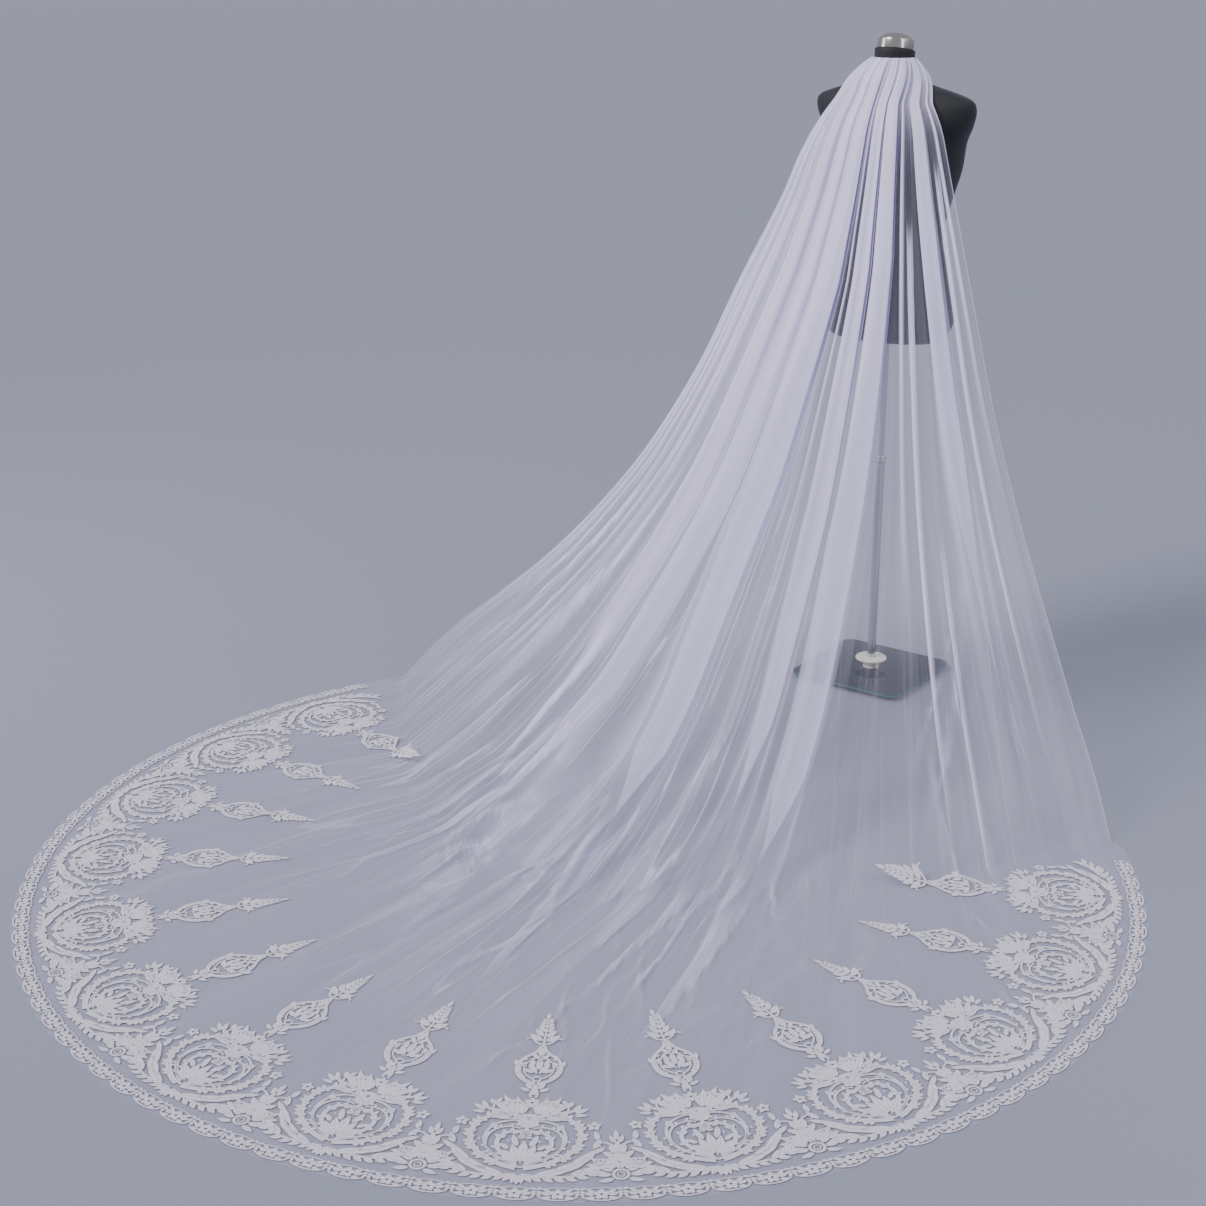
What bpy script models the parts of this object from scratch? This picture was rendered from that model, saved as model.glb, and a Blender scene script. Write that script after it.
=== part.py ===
"""Bridal veil with a lace border, hung from the neck of a limbless dress form on a glass foot.

Metres, +Z up. The origin is the centre of the stand's underside, on the floor. The form faces +Y
and the veil's train runs out along -Y. Azimuths are in degrees about the pole, 0 towards -Y and
positive towards +X. The veil is one wall of tulle whose across direction follows the azimuth and
whose down direction follows a guide line from the neck, down the fall and along the floor.
"""
import math
from collections import namedtuple

import bmesh
import bpy
from mathutils import Vector
from mathutils.bvhtree import BVHTree

# Seams and walls
SEAM_GAP = 0.0003
TULLE_WALL = 0.0012
LACE_WALL = 0.0012
LACE_GAP = 0.0009
EDGE_SAMPLES = (0.125, 0.25, 0.375, 0.5, 0.625, 0.75, 0.875)

# Hem of the train, a round cut that lies on the floor
HEM_CENTRE_X = 0.025
HEM_CENTRE_Y = -1.258
HEM_RADIUS = 1.10
TULLE_PAST_HEM = 0.008

# Side edges of the tulle, and how far the gathered top wraps round the neck
LEFT_EDGE = -52.0
RIGHT_EDGE = 57.0
WRAP_GAIN = 1.65
WRAP_TURN = 13.0
WRAP_FROM = 1.40
NECK_Y = -0.030

# Fall of the veil: how far the cloth stands from the pole at each height, at its left edge,
# down the middle of its back and at its right edge
DrapeRow = namedtuple("DrapeRow", "height left middle right")
DRAPE = [
    DrapeRow(1.495, 0.0492, 0.0492, 0.0492),
    DrapeRow(1.478, 0.074, 0.070, 0.070),
    DrapeRow(1.440, 0.117, 0.108, 0.113),
    DrapeRow(1.360, 0.178, 0.160, 0.190),
    DrapeRow(1.280, 0.222, 0.190, 0.233),
    DrapeRow(1.180, 0.263, 0.228, 0.281),
    DrapeRow(1.000, 0.350, 0.315, 0.370),
    DrapeRow(0.800, 0.441, 0.430, 0.470),
    DrapeRow(0.600, 0.562, 0.550, 0.590),
    DrapeRow(0.450, 0.684, 0.675, 0.695),
    DrapeRow(0.330, 0.803, 0.790, 0.785),
    DrapeRow(0.230, 0.926, 0.890, 0.860),
    DrapeRow(0.150, 1.030, 1.010, 0.925),
    DrapeRow(0.080, 1.105, 1.140, 0.975),
    DrapeRow(0.030, 1.150, 1.280, 1.005),
    DrapeRow(0.000, 1.175, 1.400, 1.025),
]
FLOOR_STEPS = 4
GUIDE_STEPS = 12
ROWS = 23
ROW_CROWDING = 1.12
PLAIN_COLUMN_EVERY = 2.8

# Folds. A lap is a pleat laid over itself, three layers across its width; a ridge is one wave.
# Azimuths and widths are given at five distances from the pole, and each fold opens out flat
# where it vanishes.
FOLD_REACHES = (0.05, 0.30, 0.60, 1.00, 1.40)
Fold = namedtuple("Fold", "kind side azimuths widths depth vanish")
FOLDS = [
    Fold("ridge", 1, (-46.5, -45.0, -45.0, -45.0, -45.0), (0.003, 0.020, 0.030, 0.030, 0.03), 0.008, 1.08),
    Fold("ridge", 1, (-40.5, -37.5, -37.0, -37.5, -38.0), (0.003, 0.022, 0.036, 0.036, 0.03), 0.010, 1.06),
    Fold("ridge", 1, (-34.5, -29.5, -29.5, -30.0, -30.0), (0.003, 0.022, 0.036, 0.036, 0.03), 0.011, 1.12),
    Fold("lap", -1, (-26.5, -19.5, -19.0, -16.5, -14.4), (0.011, 0.036, 0.068, 0.045, 0.02), 0.012, 1.22),
    Fold("lap", -1, (-15.0, -9.8, -10.6, -11.2, -10.8), (0.011, 0.034, 0.062, 0.040, 0.02), 0.012, 1.42),
    Fold("lap", 1, (-3.0, 1.4, -1.2, 1.2, 3.5), (0.011, 0.054, 0.090, 0.084, 0.03), 0.014, 1.44),
    Fold("ridge", 1, (4.0, 10.0, 9.0, 9.0, 7.6), (0.003, 0.009, 0.020, 0.026, 0.03), 0.008, 1.36),
    Fold("lap", 1, (11.5, 15.6, 14.4, 13.7, 12.9), (0.011, 0.033, 0.046, 0.034, 0.02), 0.011, 1.34),
    Fold("lap", 1, (22.5, 24.6, 21.0, 18.9, 16.8), (0.011, 0.036, 0.060, 0.058, 0.02), 0.013, 1.44),
    Fold("ridge", 1, (31.0, 32.0, 32.6, 34.2, 35.0), (0.003, 0.014, 0.022, 0.024, 0.02), 0.008, 0.98),
    Fold("lap", 1, (39.5, 43.0, 45.6, 47.0, 47.4), (0.011, 0.028, 0.034, 0.018, 0.01), 0.011, 0.95),
    Fold("ridge", 1, (50.0, 53.0, 54.6, 54.8, 54.8), (0.003, 0.014, 0.016, 0.016, 0.01), 0.007, 0.90),
]
NECK_FOLD_DEPTH = 0.0022
FULL_DEPTH_REACH = 0.36
# A fold opens out over the last stretch before it vanishes; its middle layer turns over slowly,
# between these two distances before the end, so that the wall doesn't cut through itself
STILL_FOLDED = 0.42
TURNING = 0.28
TURNED_OVER = 0.12
LEANING_SHARE = 0.28
LEVELLING_RUN = 0.08
FLOOR_CLEAR = 0.08

# Cross-section of each kind of fold, as shares of its width across and its depth outwards;
# flat is where the same point lies once the fold has opened out
FoldPoint = namedtuple("FoldPoint", "across out flat")
LAP = [
    FoldPoint(-0.60, 0.00, -1.00),
    FoldPoint(-0.38, 0.90, -0.75),
    FoldPoint(0.38, 1.00, -0.50),
    FoldPoint(0.50, 0.62, -0.25),
    FoldPoint(0.00, 0.00, 0.00),
    FoldPoint(-0.50, -0.62, 0.25),
    FoldPoint(-0.38, -1.00, 0.50),
    FoldPoint(0.38, -0.90, 0.75),
    FoldPoint(0.60, 0.00, 1.00),
]
RIDGE = [
    FoldPoint(-0.50, 0.00, -1.00),
    FoldPoint(0.00, 1.00, 0.00),
    FoldPoint(0.50, 0.00, 1.00),
]
SECTIONS = {"lap": LAP, "ridge": RIDGE}
OPEN_SHARE = 0.85
MITRE_LIMIT = 1.5

# Lace border: fourteen equal motifs round the hem, each from a foot near the hem to a finial
MOTIF_COUNT = 14
FIRST_MOTIF = 164.6
MOTIF_PITCH = 17.1
# Half outline of a motif: how far in from the hem, and half its width there in hem degrees
OutlineRow = namedtuple("OutlineRow", "inward half_width")
MOTIF_OUTLINE = [
    OutlineRow(0.040, 1.0),
    OutlineRow(0.052, 4.0),
    OutlineRow(0.084, 6.6),
    OutlineRow(0.120, 8.1),
    OutlineRow(0.165, 8.2),
    OutlineRow(0.205, 7.2),
    OutlineRow(0.232, 5.4),
    OutlineRow(0.258, 7.6),
    OutlineRow(0.290, 6.6),
    OutlineRow(0.305, 3.4),
    OutlineRow(0.325, 2.0),
    OutlineRow(0.352, 4.9),
    OutlineRow(0.385, 5.2),
    OutlineRow(0.415, 3.2),
    OutlineRow(0.432, 1.1),
    OutlineRow(0.455, 2.7),
    OutlineRow(0.476, 1.3),
    OutlineRow(0.515, 0.35),
]
# Gaps cut through a motif, the larger ones of its scrolls, leaves and bulb: where the middle of
# the gap lies, how long and wide it is, and how it is turned from the hem's direction. A gap off
# the middle line is cut again on the other side.
GapRow = namedtuple("GapRow", "across inward length width turn")
MOTIF_GAPS = [
    GapRow(0.000, 0.192, 0.052, 0.010, 0.0),
    GapRow(0.000, 0.160, 0.034, 0.012, 0.0),
    GapRow(0.000, 0.118, 0.012, 0.034, 0.0),
    GapRow(0.000, 0.388, 0.022, 0.026, 0.0),
    GapRow(0.050, 0.160, 0.058, 0.011, -68.0),
    GapRow(0.083, 0.165, 0.064, 0.012, -76.0),
    GapRow(0.052, 0.098, 0.050, 0.010, 28.0),
    GapRow(0.116, 0.148, 0.042, 0.010, -84.0),
    GapRow(0.074, 0.262, 0.040, 0.014, 35.0),
    GapRow(0.034, 0.276, 0.030, 0.009, 62.0),
    GapRow(0.046, 0.376, 0.038, 0.013, 72.0),
]

# Scalloped edging along the hem
SCALLOPS_PER_MOTIF = 5
EDGING_OUT = 0.004
EDGING_VALLEY = 0.012
EDGING_IN = 0.030

# Heading band that the top of the tulle is gathered on
BAND_CLEARANCE = 0.0004
BAND_WALL = 0.0015
BAND_LOW = 1.484
BAND_HIGH = 1.4965
BAND_STEPS = 26
BAND_FROM = -72.0
BAND_TO = 106.0

# Dress form: half-widths, half-depths and the middle of each section, bottom to neck
FormRow = namedtuple("FormRow", "height half_width half_depth middle_y squareness")
FORM = [
    FormRow(0.858, 0.132, 0.090, 0.000, 2.3),
    FormRow(0.868, 0.144, 0.102, 0.000, 2.3),
    FormRow(0.900, 0.157, 0.110, 0.002, 2.3),
    FormRow(0.960, 0.155, 0.108, 0.002, 2.3),
    FormRow(1.020, 0.138, 0.096, 0.003, 2.2),
    FormRow(1.080, 0.120, 0.086, 0.004, 2.2),
    FormRow(1.120, 0.121, 0.087, 0.006, 2.2),
    FormRow(1.190, 0.136, 0.098, 0.012, 2.2),
    FormRow(1.250, 0.150, 0.108, 0.018, 2.2),
    FormRow(1.310, 0.164, 0.100, 0.008, 2.2),
    FormRow(1.350, 0.186, 0.086, -0.006, 2.3),
    FormRow(1.385, 0.197, 0.070, -0.014, 2.4),
    FormRow(1.408, 0.190, 0.056, -0.020, 2.3),
    FormRow(1.424, 0.150, 0.050, -0.024, 2.1),
    FormRow(1.438, 0.098, 0.047, -0.028, 2.0),
    FormRow(1.450, 0.068, 0.0465, -0.030, 2.0),
    FormRow(1.464, 0.051, 0.0460, -0.030, 2.0),
    FormRow(1.478, 0.0455, 0.0455, -0.030, 2.0),
    FormRow(1.506, 0.0455, 0.0455, -0.030, 2.0),
]
FORM_STEPS = 26
NECK_RADIUS = 0.0455

# Neck cap, a low turned metal lid tipped forwards on the neck
TurnedRow = namedtuple("TurnedRow", "height radius")
CAP_TILT = 9.0
CAP_BASE = 1.5064
CAP_PROFILE = [
    TurnedRow(0.0000, 0.0415),
    TurnedRow(0.0015, 0.0430),
    TurnedRow(0.0200, 0.0425),
    TurnedRow(0.0245, 0.0405),
    TurnedRow(0.0320, 0.0300),
    TurnedRow(0.0340, 0.0260),
]
TURN_STEPS = 24

# Stand: telescopic pole, plastic collar, glass foot on pads
PLATE_SIDE = 0.300
PLATE_CORNER = 0.030
PLATE_THICK = 0.0075
PLATE_BEVEL = 0.0010
PAD_HEIGHT = 0.008
PAD_RADIUS = 0.011
PAD_INSET = 0.030
WASHER_RADIUS = 0.026
POLE_LOWER_RADIUS = 0.0105
POLE_UPPER_RADIUS = 0.0072
POLE_STEP = 0.564
POLE_SLEEVE_RADIUS = 0.0118
POLE_SLEEVE_LENGTH = 0.016
COLLAR_BORE = POLE_LOWER_RADIUS + SEAM_GAP
COLLAR_PROFILE = [
    TurnedRow(0.0000, 0.0190),
    TurnedRow(0.0030, 0.0180),
    TurnedRow(0.0200, 0.0165),
    TurnedRow(0.0215, 0.0380),
    TurnedRow(0.0235, 0.0388),
    TurnedRow(0.0260, 0.0375),
    TurnedRow(0.0275, 0.0150),
]
SCREW_AZIMUTH = 62.0
SCREW_HEIGHT = 0.0105
SCREW_SIZE = (0.012, 0.007, 0.013)

PLATE_UNDERSIDE = PAD_HEIGHT + SEAM_GAP
PLATE_TOP = PLATE_UNDERSIDE + PLATE_THICK
COLLAR_FOOT = PLATE_TOP + SEAM_GAP
FORM_BOTTOM = FORM[0].height


def clear_scene():
    for item in list(bpy.data.objects):
        bpy.data.objects.remove(item, do_unlink=True)


def material(name, colour, roughness, metallic=0.0, alpha=1.0):
    made = bpy.data.materials.new(name)
    made.use_nodes = True
    shader = made.node_tree.nodes["Principled BSDF"]
    shader.inputs["Base Color"].default_value = (*colour, 1.0)
    shader.inputs["Roughness"].default_value = roughness
    shader.inputs["Metallic"].default_value = metallic
    shader.inputs["Alpha"].default_value = alpha
    return made


def add_object(name, mesh_builder, finish, smooth_angle=40.0):
    mesh = bpy.data.meshes.new(name)
    mesh_builder.to_mesh(mesh)
    mesh_builder.free()
    mesh.shade_smooth()
    mesh.set_sharp_from_angle(angle=math.radians(smooth_angle))
    made = bpy.data.objects.new(name, mesh)
    made.data.materials.append(finish)
    bpy.context.scene.collection.objects.link(made)
    return made


def interpolate(position, stops, values):
    """Value at a position between named stops, held at the ends."""
    if position <= stops[0]:
        return values[0]
    for low, high, before, after in zip(stops, stops[1:], values, values[1:]):
        if position <= high:
            return before + (after - before) * (position - low) / (high - low)
    return values[-1]


def ease(share):
    share = min(1.0, max(0.0, share))
    return share * share * (3.0 - 2.0 * share)


def hem_reach(azimuth):
    """Distance from the pole to the hem circle's far side in one direction."""
    turn = math.radians(azimuth)
    along = HEM_CENTRE_X * math.sin(turn) - HEM_CENTRE_Y * math.cos(turn)
    cut_radius = HEM_RADIUS + TULLE_PAST_HEM
    inside = cut_radius**2 - (HEM_CENTRE_X**2 + HEM_CENTRE_Y**2 - along**2)
    return along + math.sqrt(max(0.0, inside))


def guide_knots(azimuth):
    """The points that one guide line passes through, as (reach, height) pairs."""
    edge = LEFT_EDGE if azimuth < 0.0 else RIGHT_EDGE
    share = ease(azimuth / edge)
    knots = []
    for row in DRAPE:
        side = row.left if azimuth < 0.0 else row.right
        knots.append((row.middle + (side - row.middle) * share, row.height))
    touch = knots[-1][0]
    end = hem_reach(azimuth)
    for step in range(1, FLOOR_STEPS + 1):
        knots.append((touch + (end - touch) * step / FLOOR_STEPS, 0.0))
    return knots


def smooth_between(before, start, end, after, share):
    """One step of a Catmull-Rom curve."""
    return 0.5 * (
        2.0 * start
        + (end - before) * share
        + (2.0 * before - 5.0 * start + 4.0 * end - after) * share**2
        + (3.0 * start - before - 3.0 * end + after) * share**3
    )


def guide_line(azimuth):
    """A guide line as fine points, each with its length from the top."""
    knots = guide_knots(azimuth)
    padded = [knots[0], *knots, knots[-1]]
    line = []
    length = 0.0
    for index in range(len(knots) - 1):
        four = padded[index:index + 4]
        for step in range(GUIDE_STEPS):
            share = step / GUIDE_STEPS
            reach = smooth_between(*(knot[0] for knot in four), share)
            height = max(0.0, smooth_between(*(knot[1] for knot in four), share))
            if line:
                length += math.hypot(reach - line[-1][1], height - line[-1][2])
            line.append((length, reach, height))
    reach, height = knots[-1]
    length += math.hypot(reach - line[-1][1], height - line[-1][2])
    line.append((length, reach, height))
    return line


GUIDES = {}


def guide_point(azimuth, share):
    """Reach and height at a share of the way down one guide line."""
    key = round(azimuth, 3)
    if key not in GUIDES:
        GUIDES[key] = guide_line(key)
    line = GUIDES[key]
    target = line[-1][0] * min(1.0, max(0.0, share))
    low, high = 0, len(line) - 1
    while high - low > 1:
        middle = (low + high) // 2
        if line[middle][0] <= target:
            low = middle
        else:
            high = middle
    start, end = line[low], line[high]
    part = (target - start[0]) / max(1e-9, end[0] - start[0])
    return start[1] + (end[1] - start[1]) * part, start[2] + (end[2] - start[2]) * part


def wrapped_share(height):
    """How far round the neck the cloth has turned at one height, so that its pleats run straight."""
    return max(0.0, (height - WRAP_FROM) / (DRAPE[0].height - WRAP_FROM)) ** 1.5


def cloth_point(azimuth, share):
    """Point of the plain, unfolded cloth, midway through its wall."""
    reach, height = guide_point(azimuth, share)
    wrap = wrapped_share(height)
    turn = math.radians(azimuth + wrap * (azimuth * (WRAP_GAIN - 1.0) + WRAP_TURN))
    over_neck = ease((height - WRAP_FROM) / (DRAPE[0].height - WRAP_FROM))
    return Vector((
        reach * math.sin(turn),
        NECK_Y * over_neck - reach * math.cos(turn),
        height + TULLE_WALL / 2.0,
    ))


def cloth_directions(azimuth, share):
    """Unit vectors of the plain cloth at a point: outwards, and down the guide line."""
    turn_step = 0.25
    share_step = 0.002
    across = cloth_point(azimuth + turn_step, share) - cloth_point(azimuth - turn_step, share)
    upper = max(0.0, share - share_step)
    lower = min(1.0, share + share_step)
    down = (cloth_point(azimuth, lower) - cloth_point(azimuth, upper)).normalized()
    return down.cross(across).normalized(), down


def fold_middle(fold, share):
    """Azimuth of a fold's middle at one row, and how far from the pole it lies there."""
    middle = fold.azimuths[1]
    for _ in range(3):
        reach, _ = guide_point(middle, share)
        middle = interpolate(reach, FOLD_REACHES, fold.azimuths)
    return middle, reach


def opened_share(fold, width, room, before_end):
    """How far a fold has opened: its middle layer turns over slowly on the way."""
    upright = 1.0
    if fold.kind == "lap":
        upright = width / (width + 0.5 * room)
    stops = (0.0, TURNED_OVER, TURNING, STILL_FOLDED)
    late = upright + (1.0 - upright) * LEANING_SHARE
    early = upright * (1.0 - LEANING_SHARE)
    return interpolate(before_end, stops, (1.0, late, early, 0.0))


def fold_columns(fold, middle, reach, share, rooms):
    """Azimuth and outward offset of each point across a fold at one row."""
    width = interpolate(reach, FOLD_REACHES, fold.widths)
    deep = max(NECK_FOLD_DEPTH, fold.depth * min(1.0, reach / FULL_DEPTH_REACH))
    deep *= 1.0 - ease((reach - fold.vanish + LEVELLING_RUN) / (2.0 * LEVELLING_RUN))
    _, height = guide_point(middle, share)
    wrap = wrapped_share(height)
    per_degree = math.radians(reach * (1.0 + wrap * (WRAP_GAIN - 1.0)))
    before_end = fold.vanish - reach
    opened_sides = [opened_share(fold, width, room * per_degree, before_end) for room in rooms]
    columns = []
    for point in SECTIONS[fold.kind]:
        folded = fold.side * point.across * width / per_degree
        spread = fold.side * point.flat
        beyond = int(spread > 0.0)
        spread *= rooms[beyond]
        opened = opened_sides[beyond]
        out = point.out * deep
        if abs(point.flat) < 1.0:
            out += deep * (1.0 - ease(height / FLOOR_CLEAR))
        columns.append((middle + folded + (spread - folded) * opened, out))
    return columns[::fold.side]


def plain_counts():
    """How many plain columns lie before each fold and after the last one."""
    knee = FOLD_REACHES.index(0.60)
    stops = [LEFT_EDGE, *(fold.azimuths[knee] for fold in FOLDS), RIGHT_EDGE]
    halves = [0.0, *(math.degrees(fold.widths[knee]) for fold in FOLDS), 0.0]
    counts = []
    for index in range(len(stops) - 1):
        room = stops[index + 1] - halves[index + 1] - stops[index] - halves[index]
        counts.append(int(max(0.0, room) / PLAIN_COLUMN_EVERY))
    return counts


def cloth_row(share, counts):
    """Azimuths and offsets all the way across the veil at one row."""
    places = [fold_middle(fold, share) for fold in FOLDS]
    stops = [LEFT_EDGE, *(place[0] for place in places), RIGHT_EDGE]
    columns = [(LEFT_EDGE, 0.0)]
    for index, (fold, (middle, reach)) in enumerate(zip(FOLDS, places)):
        rooms = [
            (stops[index + 1] - stops[index]) / 2.0 * OPEN_SHARE / (1.0 + 0.5 * counts[index]),
            (stops[index + 2] - stops[index + 1]) / 2.0 * OPEN_SHARE / (1.0 + 0.5 * counts[index + 1]),
        ]
        section = fold_columns(fold, middle, reach, share, rooms)
        columns.extend(plain_between(columns[-1][0], section[0][0], counts[index]))
        columns.extend(section)
    columns.extend(plain_between(columns[-1][0], RIGHT_EDGE, counts[-1]))
    columns.append((RIGHT_EDGE, 0.0))
    return columns


def plain_between(start, end, count):
    return [(start + (end - start) * step / (count + 1), 0.0) for step in range(1, count + 1)]


def row_shares():
    return [(row / (ROWS - 1)) ** ROW_CROWDING for row in range(ROWS)]


def folded_cloth():
    """Rows of points through the middle of the folded wall, each with half the wall's depth."""
    counts = plain_counts()
    walls = []
    for share in row_shares():
        row = []
        for azimuth, out in cloth_row(share, counts):
            outward, down = cloth_directions(azimuth, share)
            row.append((cloth_point(azimuth, share) + outward * out, down))
        walls.append([(point, half_wall(row, index)) for index, (point, _) in enumerate(row)])
    return walls


def half_wall(row, index):
    """Half the wall at one point of a row, mitred where the fold turns there."""
    point, down = row[index]
    sides = []
    for one, two in ((index - 1, index), (index, index + 1)):
        if one >= 0 and two < len(row):
            sides.append(down.cross(row[two][0] - row[one][0]).normalized())
    facing = (sides[0] + sides[-1]).normalized()
    return facing * (TULLE_WALL / 2.0 * min(MITRE_LIMIT, 1.0 / max(0.2, facing.dot(sides[0]))))


def wall_mesh(walls):
    """A closed wall from a grid of points and their half walls, both skins split alike."""
    shape = bmesh.new()
    skins = []
    for sign in (1.0, -1.0):
        skins.append([
            [shape.verts.new(point + half * sign) for point, half in wall]
            for wall in walls
        ])
    last_row = len(walls) - 1
    last_column = len(walls[0]) - 1
    for row in range(last_row):
        for column in range(last_column):
            cell = [(row, column), (row + 1, column), (row + 1, column + 1), (row, column + 1)]
            corners = [walls[place[0]][place[1]][0] for place in cell]
            first = (corners[0] - corners[2]).length <= (corners[1] - corners[3]).length
            halves = ((0, 1, 2), (0, 2, 3)) if first else ((0, 1, 3), (1, 2, 3))
            for skin in skins:
                rim = [skin[place[0]][place[1]] for place in cell]
                for half in halves:
                    shape.faces.new([rim[index] for index in half])
    outer, inner = skins
    rims = [
        [(row, column) for column in range(last_column + 1)]
        for row in (0, last_row)
    ]
    rims += [
        [(row, column) for row in range(last_row + 1)]
        for column in (0, last_column)
    ]
    for rim in rims:
        for (row, column), (next_row, next_column) in zip(rim, rim[1:]):
            shape.faces.new((
                outer[row][column],
                outer[next_row][next_column],
                inner[next_row][next_column],
                inner[row][column],
            ))
    bmesh.ops.recalc_face_normals(shape, faces=shape.faces)
    bmesh.ops.triangulate(shape, faces=shape.faces)
    return shape


def make_tulle():
    shape = wall_mesh(folded_cloth())
    surface = BVHTree.FromBMesh(shape)
    tulle = material("white_tulle", (0.78, 0.76, 0.83), 0.7)
    add_object("tulle_panel", shape, tulle, 180.0)
    return surface


def hem_place(hem_angle, inward):
    """Point on the floor at an angle round the hem and a distance in from it."""
    turn = math.radians(hem_angle)
    radius = HEM_RADIUS - inward
    return HEM_CENTRE_X + radius * math.cos(turn), HEM_CENTRE_Y + radius * math.sin(turn)


def on_tulle(surface, hem_angle, inward, lift):
    """Point above the tulle's outer face at a place in the lace border."""
    x, y = hem_place(hem_angle, inward)
    hit, normal, _, _ = surface.ray_cast(Vector((x, y, 0.6)), Vector((0.0, 0.0, -1.0)))
    return hit + normal * lift


def motif_blank():
    """A motif lying flat in hem degrees and distance in from the hem, with its gaps cut."""
    shape = bmesh.new()
    outline = [(row.half_width, row.inward) for row in MOTIF_OUTLINE]
    outline += [(-row.half_width, row.inward) for row in reversed(MOTIF_OUTLINE)]
    loops = [outline]
    for gap in MOTIF_GAPS:
        sides = (1, -1) if gap.across else (1,)
        for side in sides:
            loops.append(gap_corners(gap, side))
    edges = []
    for loop in loops:
        corners = [shape.verts.new((across, inward, 0.0)) for across, inward in loop]
        for index, corner in enumerate(corners):
            edges.append(shape.edges.new((corner, corners[(index + 1) % len(corners)])))
    bmesh.ops.triangle_fill(shape, use_beauty=True, use_dissolve=False, edges=edges)
    return shape


def gap_corners(gap, side):
    """Corners of one pointed gap, in hem degrees across and metres inwards."""
    turn = math.radians(gap.turn)
    corners = []
    for along, over in ((-0.5, 0.0), (0.0, -0.5), (0.5, 0.0), (0.0, 0.5)):
        east = gap.length * along * math.cos(turn) - gap.width * over * math.sin(turn)
        north = gap.length * along * math.sin(turn) + gap.width * over * math.cos(turn)
        inward = gap.inward + north
        across = math.degrees((gap.across + east) / (HEM_RADIUS - inward))
        corners.append((across * side, inward))
    return corners[::side]


def rise_to_clear(surface, shape):
    """How far a plate must rise for its straight edges to clear the rounded cloth under them."""
    rise = 0.0
    for edge in shape.edges:
        start, end = (corner.co for corner in edge.verts)
        for share in EDGE_SAMPLES:
            point = start.lerp(end, share)
            hit = surface.ray_cast(Vector((point.x, point.y, 0.6)), Vector((0.0, 0.0, -1.0)))[0]
            if hit:
                rise = max(rise, hit.z + LACE_GAP - point.z)
    return rise


def make_lace(surface):
    lace = material("lace_thread", (0.80, 0.78, 0.80), 0.75)
    for index in range(MOTIF_COUNT):
        shape = motif_blank()
        middle = FIRST_MOTIF + MOTIF_PITCH * index
        for corner in shape.verts:
            corner.co = on_tulle(surface, middle + corner.co.x, corner.co.y, LACE_GAP)
        rise = Vector((0.0, 0.0, rise_to_clear(surface, shape)))
        bmesh.ops.translate(shape, verts=shape.verts, vec=rise)
        raised = bmesh.ops.extrude_face_region(shape, geom=shape.faces[:])["geom"]
        upper = [item for item in raised if isinstance(item, bmesh.types.BMVert)]
        bmesh.ops.translate(shape, verts=upper, vec=(0.0, 0.0, LACE_WALL))
        bmesh.ops.recalc_face_normals(shape, faces=shape.faces)
        add_object(f"lace_motif_{index + 1:02d}", shape, lace)


def make_edging(surface):
    """Scalloped edging laid along the hem, one scallop between each pair of valleys."""
    lace = material("edging_thread", (0.82, 0.80, 0.82), 0.75)
    shape = bmesh.new()
    first = FIRST_MOTIF - MOTIF_PITCH / 2.0
    scallops = MOTIF_COUNT * SCALLOPS_PER_MOTIF
    rings = []
    for step in range(2 * scallops + 1):
        hem_angle = first + MOTIF_PITCH * MOTIF_COUNT * step / (2 * scallops)
        outer = EDGING_OUT if step % 2 else EDGING_VALLEY
        rings.append([
            shape.verts.new(on_tulle(surface, hem_angle, inward, lift))
            for inward, lift in (
                (outer, LACE_GAP),
                (EDGING_IN, LACE_GAP),
                (EDGING_IN, LACE_GAP + LACE_WALL),
                (outer, LACE_GAP + LACE_WALL),
            )
        ])
    join_rings(shape, rings)
    add_object("scallop_edging", shape, lace)


def join_rings(shape, rings):
    """Side faces between rings of equal length, with a lid on each end."""
    count = len(rings[0])
    for one, two in zip(rings, rings[1:]):
        for index in range(count):
            following = (index + 1) % count
            shape.faces.new((one[index], one[following], two[following], two[index]))
    shape.faces.new(rings[0][::-1])
    shape.faces.new(rings[-1])
    bmesh.ops.recalc_face_normals(shape, faces=shape.faces)


def make_heading_band():
    """Narrow band round the back of the neck that carries the gathers."""
    satin = material("heading_satin", (0.80, 0.78, 0.82), 0.5)
    shape = bmesh.new()
    inner = NECK_RADIUS + BAND_CLEARANCE
    rings = []
    for step in range(BAND_STEPS + 1):
        turn = math.radians(BAND_FROM + (BAND_TO - BAND_FROM) * step / BAND_STEPS)
        rings.append([
            shape.verts.new((radius * math.sin(turn), NECK_Y - radius * math.cos(turn), height))
            for radius, height in (
                (inner, BAND_LOW),
                (inner + BAND_WALL, BAND_LOW),
                (inner + BAND_WALL, BAND_HIGH),
                (inner, BAND_HIGH),
            )
        ])
    join_rings(shape, rings)
    add_object("heading_band", shape, satin)


def squared_round(half_width, half_depth, squareness, turn):
    """Point on a rounded, slightly squared section."""
    power = 2.0 / squareness
    cosine, sine = math.cos(turn), math.sin(turn)
    return (
        half_width * math.copysign(abs(cosine) ** power, cosine),
        half_depth * math.copysign(abs(sine) ** power, sine),
    )


def make_form():
    jersey = material("black_form_cover", (0.012, 0.012, 0.014), 0.65)
    shape = bmesh.new()
    rings = []
    for row in FORM:
        ring = []
        for step in range(FORM_STEPS):
            turn = 2.0 * math.pi * step / FORM_STEPS
            x, y = squared_round(row.half_width, row.half_depth, row.squareness, turn)
            ring.append(shape.verts.new((x, row.middle_y + y, row.height)))
        rings.append(ring)
    join_rings(shape, rings)
    add_object("form_torso", shape, jersey, 60.0)


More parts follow.
